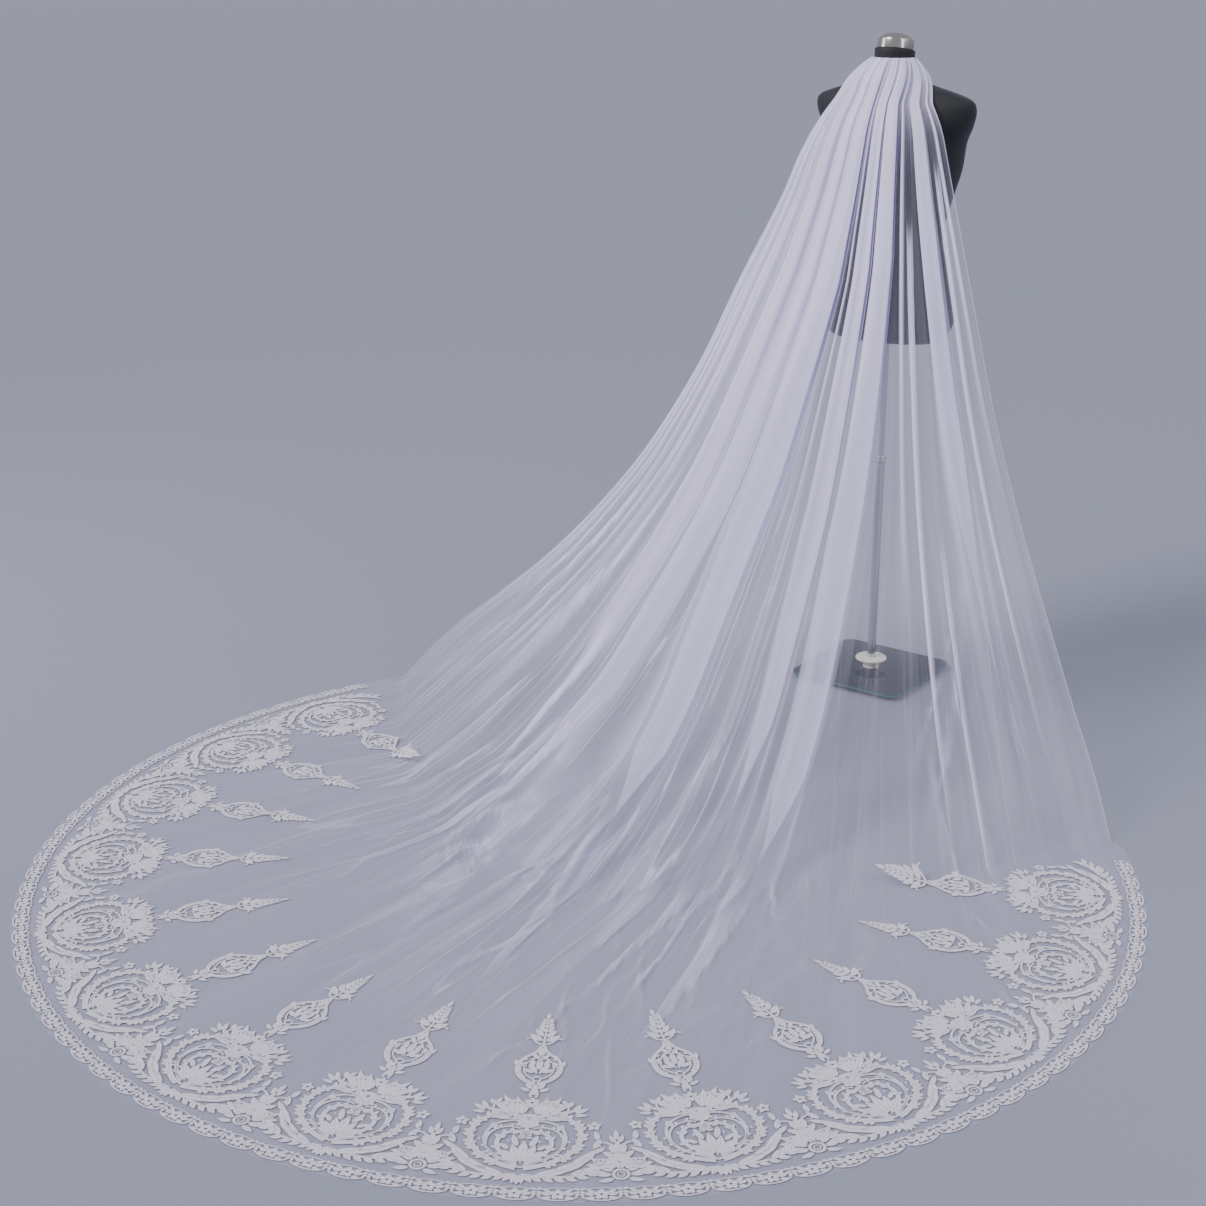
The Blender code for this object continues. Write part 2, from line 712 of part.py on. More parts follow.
def turned_solid(profile, foot, steps=TURN_STEPS, bore=0.0):
    """A solid turned about the pole's axis, with a bore where one is given."""
    shape = bmesh.new()
    rings = []
    for step in range(steps):
        turn = 2.0 * math.pi * step / steps
        outline = [(row.radius, row.height) for row in profile]
        if bore:
            outline += [(bore, profile[-1].height), (bore, profile[0].height)]
        rings.append([
            shape.verts.new((radius * math.cos(turn), radius * math.sin(turn), foot + height))
            for radius, height in outline
        ])
    count = len(rings[0])
    spans = count if bore else count - 1
    for index, ring in enumerate(rings):
        following_ring = rings[(index + 1) % steps]
        for point in range(spans):
            after = (point + 1) % count
            shape.faces.new((ring[point], following_ring[point], following_ring[after], ring[after]))
    if not bore:
        shape.faces.new([ring[0] for ring in reversed(rings)])
        shape.faces.new([ring[-1] for ring in rings])
    bmesh.ops.recalc_face_normals(shape, faces=shape.faces)
    return shape


def make_neck_cap():
    chrome = material("neck_cap_metal", (0.62, 0.60, 0.58), 0.25, 1.0)
    shape = turned_solid(CAP_PROFILE, 0.0)
    made = add_object("neck_cap", shape, chrome)
    rise = CAP_PROFILE[1].radius * math.sin(math.radians(CAP_TILT))
    made.location = (0.0, NECK_Y, CAP_BASE + rise)
    made.rotation_euler = (-math.radians(CAP_TILT), 0.0, 0.0)


def make_pole():
    chrome = material("pole_chrome", (0.55, 0.54, 0.53), 0.2, 1.0)
    lower_length = POLE_STEP - COLLAR_FOOT
    lower = [
        TurnedRow(0.0, POLE_LOWER_RADIUS),
        TurnedRow(lower_length - POLE_SLEEVE_LENGTH, POLE_LOWER_RADIUS),
        TurnedRow(lower_length - POLE_SLEEVE_LENGTH + 0.001, POLE_SLEEVE_RADIUS),
        TurnedRow(lower_length - 0.001, POLE_SLEEVE_RADIUS),
        TurnedRow(lower_length, POLE_SLEEVE_RADIUS - 0.001),
    ]
    add_object("pole_lower", turned_solid(lower, COLLAR_FOOT, 16), chrome)
    upper = [
        TurnedRow(0.0, POLE_UPPER_RADIUS),
        TurnedRow(FORM_BOTTOM - POLE_STEP - 2.0 * SEAM_GAP, POLE_UPPER_RADIUS),
    ]
    add_object("pole_upper", turned_solid(upper, POLE_STEP + SEAM_GAP, 16), chrome)


def make_collar():
    cream = material("cream_plastic", (0.72, 0.68, 0.55), 0.45)
    add_object("collar", turned_solid(COLLAR_PROFILE, COLLAR_FOOT, TURN_STEPS, COLLAR_BORE), cream)
    shape = bmesh.new()
    bmesh.ops.create_cube(shape, size=1.0)
    bmesh.ops.scale(shape, vec=SCREW_SIZE, verts=shape.verts)
    bmesh.ops.bevel(
        shape, geom=shape.edges[:], offset=0.0012, segments=1, affect="EDGES", profile=0.5, material=-1
    )
    turn = math.radians(SCREW_AZIMUTH)
    heights = [row.height for row in COLLAR_PROFILE]
    radii = [row.radius for row in COLLAR_PROFILE]
    seat = interpolate(SCREW_HEIGHT - SCREW_SIZE[2] / 2.0, heights, radii)
    reach = seat + SEAM_GAP + SCREW_SIZE[0] / 2.0
    made = add_object("collar_screw", shape, cream)
    made.location = (reach * math.sin(turn), -reach * math.cos(turn), COLLAR_FOOT + SCREW_HEIGHT)
    made.rotation_euler = (0.0, 0.0, turn - math.pi / 2.0)


def rise_of(edge):
    return abs(edge.verts[0].co.z - edge.verts[1].co.z)


def make_foot():
    """Glass plate on four corner pads, with a washer under the pole."""
    glass = material("dark_glass", (0.012, 0.030, 0.028), 0.06)
    shape = bmesh.new()
    bmesh.ops.create_cube(shape, size=1.0)
    bmesh.ops.scale(shape, vec=(PLATE_SIDE, PLATE_SIDE, PLATE_THICK), verts=shape.verts)
    upright = [edge for edge in shape.edges if rise_of(edge) > PLATE_THICK / 2.0]
    bmesh.ops.bevel(
        shape, geom=upright, offset=PLATE_CORNER, segments=5, affect="EDGES", profile=0.5, material=-1
    )
    rims = [edge for edge in shape.edges if rise_of(edge) < PLATE_THICK / 2.0]
    bmesh.ops.bevel(
        shape, geom=rims, offset=PLATE_BEVEL, segments=1, affect="EDGES", profile=0.5, material=-1
    )
    plate = add_object("base_plate", shape, glass)
    plate.location.z = PLATE_UNDERSIDE + PLATE_THICK / 2.0
    rubber = material("pad_rubber", (0.04, 0.04, 0.04), 0.8)
    out = PLATE_SIDE / 2.0 - PAD_INSET
    places = {
        "pad_left_back": (-out, -out),
        "pad_right_back": (out, -out),
        "pad_right_front": (out, out),
        "pad_left_front": (-out, out),
    }
    pad = [TurnedRow(0.0, PAD_RADIUS), TurnedRow(PAD_HEIGHT, PAD_RADIUS)]
    for name, (x, y) in places.items():
        made = add_object(name, turned_solid(pad, 0.0, 12), rubber)
        made.location = (x, y, 0.0)
    washer = [TurnedRow(0.0, WASHER_RADIUS), TurnedRow(PAD_HEIGHT, WASHER_RADIUS)]
    add_object("pole_washer", turned_solid(washer, 0.0, 16), rubber)


clear_scene()
tulle_surface = make_tulle()
make_lace(tulle_surface)
make_edging(tulle_surface)
make_heading_band()
make_form()
make_neck_cap()
make_pole()
make_collar()
make_foot()
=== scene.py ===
"""A bridal veil with a lace border, gathered round the neck of a dress form on a glass foot."""

import math
import random
from collections import namedtuple

import bmesh
import bpy
import numpy as np
from mathutils import Matrix, Vector
from mathutils.bvhtree import BVHTree


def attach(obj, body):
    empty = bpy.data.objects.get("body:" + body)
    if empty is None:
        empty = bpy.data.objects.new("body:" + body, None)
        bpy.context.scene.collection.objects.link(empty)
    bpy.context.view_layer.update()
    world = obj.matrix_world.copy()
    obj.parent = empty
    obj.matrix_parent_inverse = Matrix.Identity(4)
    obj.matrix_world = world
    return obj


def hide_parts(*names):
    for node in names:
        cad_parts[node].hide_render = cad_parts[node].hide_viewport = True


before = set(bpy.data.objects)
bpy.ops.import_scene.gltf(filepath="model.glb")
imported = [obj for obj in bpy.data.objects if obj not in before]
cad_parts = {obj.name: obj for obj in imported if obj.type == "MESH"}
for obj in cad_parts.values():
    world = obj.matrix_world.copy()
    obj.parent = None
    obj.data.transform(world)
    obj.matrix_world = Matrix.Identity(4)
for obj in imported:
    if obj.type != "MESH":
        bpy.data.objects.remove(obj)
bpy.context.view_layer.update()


# ---------------------------------------------------------------------------------------------
# Camera. It stands behind the form and to its right, at 1.75 m, and looks down along the train,
# so that the whole veil from the neck to the end of the hem fills the square.

CAMERA_PLACE = (2.0825, -4.0145, 1.75)
LOOKS_DOWN = 19.295
TURNED_LEFT = 36.0
camera_data = bpy.data.cameras.new("view")
camera_data.sensor_width = 36.0
camera_data.lens = 56.72
camera_data.clip_end = 400.0
camera = bpy.data.objects.new("view", camera_data)
camera.location = CAMERA_PLACE
camera.rotation_euler = (math.radians(90.0 - LOOKS_DOWN), 0.0, math.radians(TURNED_LEFT))
bpy.context.scene.collection.objects.link(camera)
bpy.context.scene.camera = camera


# ---------------------------------------------------------------------------------------------
# Tulle panel. One sheet of sheer nylon net, cut with a round hem and gathered at its top. It
# falls from the neck in pleats laid over themselves, which open out on the floor into low
# ridges and crumples. The net is a hundredth of a millimetre of thread and mostly air.

# The hem is a circle on the floor. An azimuth is a direction from the pole in degrees, from the
# veil's left side edge to its right one, and a reach is a distance from the pole in metres.
HEM_CENTRE = Vector((0.025, -1.258, 0.0))
HEM_RADIUS = 1.10
TULLE_PAST_HEM = 0.003
LEFT_EDGE = -52.0
RIGHT_EDGE = 57.0
TULLE_LIFT = 0.0006

# Near its top the veil is wrapped further round the neck, whose middle isn't over the pole
WRAP_FROM = 1.40
WRAP_GAIN = 1.65
WRAP_TURN = 13.0
WRAP_POWER = 1.5
NECK_Y = -0.030

# How far the cloth stands from the pole at each height: left edge, middle of the back, right edge
DrapeRow = namedtuple("DrapeRow", "height left middle right")
DRAPE = [DrapeRow(*row) for row in (
    (1.495, 0.0492, 0.0492, 0.0492), (1.478, 0.074, 0.070, 0.070),
    (1.440, 0.117, 0.108, 0.113), (1.360, 0.178, 0.160, 0.190),
    (1.280, 0.222, 0.190, 0.233), (1.180, 0.263, 0.228, 0.281),
    (1.000, 0.350, 0.315, 0.370), (0.800, 0.441, 0.430, 0.470),
    (0.600, 0.562, 0.550, 0.590), (0.450, 0.684, 0.675, 0.695),
    (0.330, 0.803, 0.790, 0.785), (0.230, 0.926, 0.890, 0.860),
    (0.150, 1.030, 1.010, 0.925), (0.080, 1.105, 1.140, 0.975),
    (0.030, 1.150, 1.280, 1.005), (0.000, 1.175, 1.400, 1.025),
)]
FLOOR_STEPS = 4
GUIDE_FINENESS = 12
GUIDE_STEP = 0.5
GUIDE_MARGIN = 2.0
GUIDE_SHARES = 500

# Main folds: a lap is three layers across its width, a ridge is one wave. Azimuths, and widths in
# millimetres, are given at five reaches. Then come the depth in millimetres and the reach at
# which the fold has opened out flat.
FOLD_REACHES = (0.05, 0.30, 0.60, 1.00, 1.40)
Fold = namedtuple("Fold", "kind side azimuths widths depth vanish")
FOLDS = [
    Fold(kind, side, azimuths, [width / 1000.0 for width in widths], depth / 1000.0, vanish)
    for kind, side, azimuths, widths, depth, vanish in (
        ("ridge", 1, (-46.5, -45.0, -45.0, -45.0, -45.0), (3, 20, 30, 30, 30), 8, 1.08),
        ("ridge", 1, (-40.5, -37.5, -37.0, -37.5, -38.0), (3, 22, 36, 36, 30), 10, 1.06),
        ("ridge", 1, (-34.5, -29.5, -29.5, -30.0, -30.0), (3, 22, 36, 36, 30), 11, 1.12),
        ("lap", -1, (-26.5, -19.5, -19.0, -16.5, -14.4), (11, 36, 68, 45, 20), 12, 1.22),
        ("lap", -1, (-15.0, -9.8, -10.6, -11.2, -10.8), (11, 34, 62, 40, 20), 12, 1.42),
        ("lap", 1, (-3.0, 1.4, -1.2, 1.2, 3.5), (11, 54, 90, 84, 30), 14, 1.44),
        ("ridge", 1, (4.0, 10.0, 9.0, 9.0, 7.6), (3, 9, 20, 26, 30), 8, 1.36),
        ("lap", 1, (11.5, 15.6, 14.4, 13.7, 12.9), (11, 33, 46, 34, 20), 11, 1.34),
        ("lap", 1, (22.5, 24.6, 21.0, 18.9, 16.8), (11, 36, 60, 58, 20), 13, 1.44),
        ("ridge", 1, (31.0, 32.0, 32.6, 34.2, 35.0), (3, 14, 22, 24, 20), 8, 0.98),
        ("lap", 1, (39.5, 43.0, 45.6, 47.0, 47.4), (11, 28, 34, 18, 10), 11, 0.95),
        ("ridge", 1, (50.0, 53.0, 54.6, 54.8, 54.8), (3, 14, 16, 16, 10), 7, 0.90),
    )
]
NECK_FOLD_DEPTH = 0.0022
FULL_DEPTH_REACH = 0.36
LEVELLING_RUN = 0.08
FLOOR_CLEAR = 0.08

# How a lap opens on its last metres before it vanishes: it is still folded at the first of these
# distances, its middle layer turns over between the next two, and it is flat at the end
STILL_FOLDED = 0.42
TURNING = 0.28
TURNED_OVER = 0.12
LEANING_SHARE = 0.28
FOLD_ROOM = 0.425

# Points across a fold: across its width, out from the cloth, and across its room once it is flat
LAP = [
    (-0.60, 0.00, -1.00), (-0.38, 0.90, -0.75), (0.38, 1.00, -0.50),
    (0.50, 0.62, -0.25), (0.00, 0.00, 0.00), (-0.50, -0.62, 0.25),
    (-0.38, -1.00, 0.50), (0.38, -0.90, 0.75), (0.60, 0.00, 1.00),
]
RIDGE = [(-0.50, 0.00, -1.00), (0.00, 1.00, 0.00), (0.50, 0.00, 1.00)]
FOLD_FINENESS = 3
TURNED_EDGE_FROM = 0.34
TURNED_EDGE_RUN = 0.12

# How much closer the threads lie than in one flat layer: in a lap, at its turned edges, on a
# ridge, at the side edges, in a pressed pleat and on a crumple
LAP_CLOSER = 0.9
TURN_CLOSER = 1.5
RIDGE_CLOSER = 1.6
HEMMED_CLOSER = 2.0
PLEAT_CLOSER = 3.3
CRUMPLE_CLOSER = 1.6

# Pressed pleats, narrow and crisp: azimuths at the start, the middle and the end of their way, the
# reaches where they start and end, then in millimetres their height and their width at both ends
Pleat = namedtuple("Pleat", "azimuths from_reach to_reach height from_width to_width")
PLEATS = [
    Pleat(azimuths, from_reach, to_reach, *(size / 1000.0 for size in sizes))
    for azimuths, from_reach, to_reach, *sizes in (
        ((-50.2, -50.6, -50.9), 0.25, 1.14, 4, 12, 9),
        ((-47.2, -47.8, -48.4), 0.16, 1.08, 4, 10, 9),
        ((-39.5, -46.8, -43.6), 0.62, 1.30, 4, 10, 6),
        ((-43.0, -43.4, -42.8), 0.30, 0.98, 3, 10, 10),
        ((-35.0, -39.4, -42.8), 0.55, 1.26, 4, 12, 7),
        ((-33.4, -34.2, -34.6), 0.22, 1.25, 5, 16, 8),
        ((-26.4, -28.0, -29.5), 0.50, 1.30, 5, 16, 8),
        ((-24.0, -24.6, -25.4), 0.95, 1.36, 3, 10, 7),
        ((-18.8, -20.5, -23.2), 1.10, 1.46, 3, 12, 7),
        ((-16.2, -16.0, -14.0), 0.80, 1.20, 6, 28, 8),
        ((-12.4, -14.8, -16.2), 0.96, 1.56, 4, 14, 7),
        ((-9.0, -12.4, -11.5), 0.90, 1.68, 6, 30, 10),
        ((-6.0, -9.6, -9.2), 1.05, 1.62, 4, 16, 8),
        ((-5.4, -7.8, -7.4), 1.16, 1.74, 6, 28, 10),
        ((-5.8, -5.4, -4.7), 1.05, 1.82, 6, 30, 10),
        ((-5.2, -2.8, -1.9), 1.28, 1.85, 4, 14, 9),
        ((0.0, -1.2, -0.9), 1.14, 1.80, 4, 14, 8),
        ((1.0, 0.6, 1.0), 1.20, 1.98, 5, 26, 11),
        ((2.5, 4.0, 5.8), 1.16, 1.82, 7, 50, 10),
        ((5.0, 2.8, 3.2), 1.52, 2.05, 4, 13, 8),
        ((9.6, 7.0, 7.2), 0.90, 1.72, 4, 14, 8),
        ((10.2, 9.2, 9.0), 1.26, 2.00, 5, 24, 11),
        ((13.0, 12.0, 11.2), 1.26, 1.80, 5, 24, 8),
        ((13.8, 14.2, 13.8), 1.30, 1.74, 3, 10, 7),
        ((17.6, 16.9, 16.0), 1.20, 1.90, 7, 48, 11),
        ((19.2, 21.4, 22.2), 1.20, 1.56, 3, 9, 7),
        ((35.0, 36.2, 37.4), 0.24, 1.10, 4, 12, 9),
        ((40.0, 40.6, 41.2), 0.60, 1.24, 3, 10, 8),
        ((49.4, 50.4, 51.2), 0.20, 1.00, 4, 12, 9),
    )
]
CRUMPLES = 90
LINE_GAPS = 2.2
GATHERS = 26
GATHER_DEPTH = 0.0040

# The mesh: degrees between plain columns, and between the CAD's coarser ones, whose folds open
# into the same room
ROWS = 226
ROW_CROWDING = 1.06
PLAIN_COLUMN = 0.36
COARSE_COLUMN = 2.8
COLUMN_TRIES = 160
PLEAT_CROWDING = 7.0


def interpolate(position, stops, values):
    """Value at a position between stops, held at the ends."""
    return float(np.interp(position, stops, values))


def ease(share):
    share = np.clip(share, 0.0, 1.0)
    return share * share * (3.0 - 2.0 * share)


def rounded(values, fineness):
    """A smooth curve through values, with so many steps between each two."""
    padded = [2.0 * values[0] - values[1], *values, 2.0 * values[-1] - values[-2]]
    curve = []
    for before, start, end, after in zip(padded, padded[1:], padded[2:], padded[3:]):
        for step in range(fineness):
            share = step / fineness
            curve.append(0.5 * (
                2.0 * start
                + (end - before) * share
                + (2.0 * before - 5.0 * start + 4.0 * end - after) * share**2
                + (3.0 * start - before - 3.0 * end + after) * share**3
            ))
    curve.append(values[-1])
    return curve


def rounded_rows(rows, fineness):
    """Rows of a table, with more between them so that each column is a smooth curve."""
    return list(zip(*(rounded(column, fineness) for column in zip(*rows))))


def hem_reach(azimuth):
    """Distance from the pole to the hem circle's far side in one direction."""
    turn = math.radians(azimuth)
    along = HEM_CENTRE.x * math.sin(turn) - HEM_CENTRE.y * math.cos(turn)
    aside = HEM_CENTRE.x**2 + HEM_CENTRE.y**2 - along**2
    return along + math.sqrt(max(0.0, (HEM_RADIUS + TULLE_PAST_HEM) ** 2 - aside))


def guide_line(azimuth, shares):
    """Reach and height at shares of the way from the neck, down the fall and along the floor."""
    side = ease(azimuth / (LEFT_EDGE if azimuth < 0.0 else RIGHT_EDGE))
    reaches = []
    for row in DRAPE:
        edge = row.left if azimuth < 0.0 else row.right
        reaches.append(row.middle + (edge - row.middle) * side)
    end = hem_reach(azimuth)
    touch = reaches[-1]
    reaches += [touch + (end - touch) * (step + 1) / FLOOR_STEPS for step in range(FLOOR_STEPS)]
    heights = [row.height for row in DRAPE] + [0.0] * FLOOR_STEPS
    reaches = np.array(rounded(reaches, GUIDE_FINENESS))
    heights = np.maximum(0.0, rounded(heights, GUIDE_FINENESS))
    lengths = np.concatenate(([0.0], np.cumsum(np.hypot(np.diff(reaches), np.diff(heights)))))
    lengths /= lengths[-1]
    return np.interp(shares, lengths, reaches), np.interp(shares, lengths, heights)


guide_azimuths = np.arange(
    LEFT_EDGE - GUIDE_MARGIN, RIGHT_EDGE + GUIDE_MARGIN + GUIDE_STEP, GUIDE_STEP
)
guide_table = np.array([
    guide_line(azimuth, np.linspace(0.0, 1.0, GUIDE_SHARES + 1)) for azimuth in guide_azimuths
])


def guide_point(azimuth, share):
    """Reach and height on the plain cloth, read between the worked-out guide lines."""
    column = np.clip((azimuth - guide_azimuths[0]) / GUIDE_STEP, 0.0, len(guide_azimuths) - 1.001)
    row = np.clip(share, 0.0, 1.0) * (GUIDE_SHARES - 0.001)
    left, upper = column.astype(int), row.astype(int)
    aside, below = column - left, row - upper
    found = []
    for part in (0, 1):
        top, low = (
            guide_table[left, part, line] * (1.0 - aside)
            + guide_table[left + 1, part, line] * aside
            for line in (upper, upper + 1)
        )
        found.append(top * (1.0 - below) + low * below)
    return found


def up_the_neck(height):
    """Share of the way from where the wrap round the neck starts to the top of the veil."""
    return np.clip((height - WRAP_FROM) / (DRAPE[0].height - WRAP_FROM), 0.0, 1.0)


def cloth_points(azimuth, share):
    """Points of the plain cloth, as rows of x, y, z."""
    reach, height = guide_point(azimuth, share)
    wrap = up_the_neck(height) ** WRAP_POWER
    turn = np.radians(azimuth + wrap * (azimuth * (WRAP_GAIN - 1.0) + WRAP_TURN))
    over_neck = NECK_Y * ease(up_the_neck(height))
    return np.stack(
        (reach * np.sin(turn), over_neck - reach * np.cos(turn), height + TULLE_LIFT), axis=-1
    )


def fold_place(fold, share):
    """Azimuth of a fold's middle at one row, and its reach and height there."""
    middle = fold.azimuths[1]
    for _ in range(3):
        reach, height = guide_point(np.array(middle), np.array(share))
        middle = interpolate(reach, FOLD_REACHES, fold.azimuths)
    return middle, float(reach), float(height)


def opened_share(fold, width, room, before_end):
    """How far a fold has opened: its middle layer turns over slowly on the way."""
    upright = width / (width + 0.5 * room) if fold.kind == "lap" else 1.0
    late = upright + (1.0 - upright) * LEANING_SHARE
    early = upright * (1.0 - LEANING_SHARE)
    stops = (0.0, TURNED_OVER, TURNING, STILL_FOLDED)
    return interpolate(before_end, stops, (1.0, late, early, 0.0))


SECTIONS = {"lap": rounded_rows(LAP, FOLD_FINENESS), "ridge": rounded_rows(RIDGE, FOLD_FINENESS)}


def fold_columns(fold, middle, reach, height, rooms):
    """Azimuth, outward offset and closeness of each column across a fold at one row."""
    width = interpolate(reach, FOLD_REACHES, fold.widths)
    deep = max(NECK_FOLD_DEPTH, fold.depth * min(1.0, reach / FULL_DEPTH_REACH))
    deep *= 1.0 - ease((reach - fold.vanish + LEVELLING_RUN) / (2.0 * LEVELLING_RUN))
    wrap = up_the_neck(height) ** WRAP_POWER
    per_degree = math.radians(reach * (1.0 + wrap * (WRAP_GAIN - 1.0)))
    sides = [opened_share(fold, width, room * per_degree, fold.vanish - reach) for room in rooms]
    lifted = deep * (1.0 - ease(height / FLOOR_CLEAR))
    columns = []
    for across, out, flat in SECTIONS[fold.kind]:
        folded = fold.side * across * width / per_degree
        spread = fold.side * flat
        beyond = int(spread > 0.0)
        spread *= rooms[beyond]
        rise = lifted * min(1.0, 4.0 * (1.0 - abs(flat)))
        if fold.kind == "lap":
            turned_edge = ease((abs(across) - TURNED_EDGE_FROM) / TURNED_EDGE_RUN)
            laid = (1.0 - sides[beyond]) * (LAP_CLOSER + TURN_CLOSER * turned_edge)
        else:
            laid = RIDGE_CLOSER * (1.0 - abs(flat)) * (1.0 - sides[beyond])
        columns.append((middle + folded + (spread - folded) * sides[beyond], out * deep + rise, laid))
    return columns[::fold.side]


def plain_counts():
    """How many plain columns lie before each fold and after the last one."""
    knee = FOLD_REACHES.index(0.60)
    stops = [LEFT_EDGE, *(fold.azimuths[knee] for fold in FOLDS), RIGHT_EDGE]
    halves = [0.0, *(math.degrees(fold.widths[knee]) for fold in FOLDS), 0.0]
    rooms = [
        stops[index + 1] - halves[index + 1] - stops[index] - halves[index]
        for index in range(len(stops) - 1)
    ]
    return [max(3, int(room / PLAIN_COLUMN)) for room in rooms]


def pleat_middle(pleat, reach):
    return np.interp(reach, np.linspace(pleat.from_reach, pleat.to_reach, 3), pleat.azimuths)


def pleat_width(pleat, reach):
    return np.interp(reach, (pleat.from_reach, pleat.to_reach), (pleat.from_width, pleat.to_width))


def plain_columns(start, end, count, reach):
    """Columns of plain cloth between two folds, drawn closer together where a pleat runs."""
    tries = np.linspace(start, end, COLUMN_TRIES)
    weight = np.ones_like(tries)
    for pleat in PLEATS:
        half = np.degrees(pleat_width(pleat, reach) / reach)
        weight += PLEAT_CROWDING * np.exp(-(((tries - pleat_middle(pleat, reach)) / half) ** 4))
    total = np.concatenate(([0.0], np.cumsum((weight[1:] + weight[:-1]) / 2.0)))
    steps = np.arange(1, count + 1) / (count + 1) * total[-1]
    return [(azimuth, 0.0, 0.0) for azimuth in np.interp(steps, total, tries)]


def cloth_row(share, counts, coarse_counts):
    """Azimuths, offsets and closeness all the way across the veil at one row."""
    places = [fold_place(fold, share) for fold in FOLDS]
    stops = [LEFT_EDGE, *(place[0] for place in places), RIGHT_EDGE]
    rooms = [
        (end - start) * FOLD_ROOM / (1.0 + 0.5 * coarse_count)
        for start, end, coarse_count in zip(stops, stops[1:], coarse_counts)
    ]
    columns = [(LEFT_EDGE, 0.0, HEMMED_CLOSER)]
    for index, (fold, (middle, reach, height)) in enumerate(zip(FOLDS, places)):
        section = fold_columns(fold, middle, reach, height, rooms[index:index + 2])
        columns += plain_columns(columns[-1][0], section[0][0], counts[index], reach)
        columns += section
    columns += plain_columns(columns[-1][0], RIGHT_EDGE, counts[-1], reach)
    columns.append((RIGHT_EDGE, 0.0, HEMMED_CLOSER))
    return columns


counts = plain_counts()
coarse_counts = [int(count * PLAIN_COLUMN / COARSE_COLUMN) for count in counts]
shares = (np.arange(ROWS) / (ROWS - 1)) ** ROW_CROWDING
rows = np.array([cloth_row(share, counts, coarse_counts) for share in shares])
azimuths, offsets, closer = rows[:, :, 0], rows[:, :, 1].copy(), 1.0 + rows[:, :, 2]
columns = azimuths.shape[1]
share_grid = np.repeat(shares[:, None], columns, axis=1)
reach_grid, height_grid = guide_point(azimuths, share_grid)
column_gap = np.maximum(*(np.abs(np.gradient(azimuths, axis=axis)) for axis in (1, 0)))
column_gap = np.radians(column_gap) * reach_grid


def drawn_line(middle, width, along, swell, sink):
    """How far each corner lies aside of a line, in widths, and how strong the line is there.

    Where the mesh is coarse, because its columns spread or drift as a lap opens, the line is
    drawn wider and fainter, so that it doesn't break up.
    """
    drawn = np.maximum(width, LINE_GAPS * column_gap)
    aside = np.radians(azimuths - middle) * reach_grid / drawn
    return aside, ease(along * swell) * ease((1.0 - along) * sink) * width / drawn


# A pressed pleat is evenly closer across its width, and a little more so along both its edges
for pleat in PLEATS:
    run = pleat.to_reach - pleat.from_reach
    along = np.clip((reach_grid - pleat.from_reach) / run, 0.0, 1.0)
    width = pleat_width(pleat, reach_grid)
    aside, fade = drawn_line(pleat_middle(pleat, reach_grid), width, along, 5.0, 2.5)
    offsets += pleat.height * fade * np.exp(-5.0 * aside**2)
    pressed = ease((0.56 - np.abs(aside)) / 0.16)
    pressed = pressed + 0.5 * np.exp(-(((np.abs(aside) - 0.40) / 0.10) ** 2))
    closer += PLEAT_CLOSER * fade * pressed

# Crumples are short soft lines strewn over the train
chance = random.Random(11)
for _ in range(CRUMPLES):
    azimuth = chance.uniform(-42.0, 44.0)
    start = hem_reach(azimuth) - chance.uniform(0.42, 1.05)
    run = chance.uniform(0.12, 0.40)
    drift = math.degrees(run * chance.uniform(-0.45, 0.45) / start)
    width = chance.uniform(0.010, 0.018)
    height = chance.uniform(0.0015, 0.0040)
    wave = chance.uniform(0.0, 0.5)
    along = np.clip((reach_grid - start) / run, 0.0, 1.0)
    middle = azimuth + drift * along + wave * np.sin(9.0 * along + start)
    aside, fade = drawn_line(middle, width, along, 3.0, 3.0)
    offsets += height * fade * np.exp(-4.0 * aside**2)
    closer += CRUMPLE_CLOSER * fade * np.exp(-12.0 * aside**2)

# Gathers under the neck, a little uneven in pitch and depth
across = np.linspace(0.0, 1.0, columns)[None, :]
uneven = 1.3 * np.sin(8.0 * across + 0.5)
phase = 2.0 * math.pi * (GATHERS * across + uneven + 0.8 * np.sin(27.0 * across))
gather_swell = 0.55 + 0.45 * np.sin(41.0 * across + 2.0)
gather_reaches = (0.05, 0.09, 0.20, 0.40, 0.80)
gather_depths = np.interp(reach_grid, gather_reaches, (0.0, 0.5, 1.0, 0.6, 0.0)) * GATHER_DEPTH
offsets += gather_depths * gather_swell * (0.5 + 0.5 * np.sin(phase))

points = cloth_points(azimuths, share_grid)
east = cloth_points(azimuths + 0.25, share_grid) - cloth_points(azimuths - 0.25, share_grid)
south = cloth_points(azimuths, share_grid + 0.002) - cloth_points(azimuths, share_grid - 0.002)
outward = np.cross(south, east)
outward /= np.linalg.norm(outward, axis=-1, keepdims=True)
points = points + outward * offsets[:, :, None]
points[:, :, 2] = np.maximum(points[:, :, 2], TULLE_LIFT)

# The cloth's own measure, in metres: across, in the row where it lies open, and down the middle
OPEN_REACH = 1.30
middle_line = points[:, columns // 2]
open_row = points[int(np.argmax(reach_grid[:, columns // 2] > OPEN_REACH))]
flat_across, flat_down = (
    np.concatenate(([0.0], np.cumsum(np.linalg.norm(np.diff(line, axis=0), axis=-1))))
    for line in (open_row, middle_line)
)

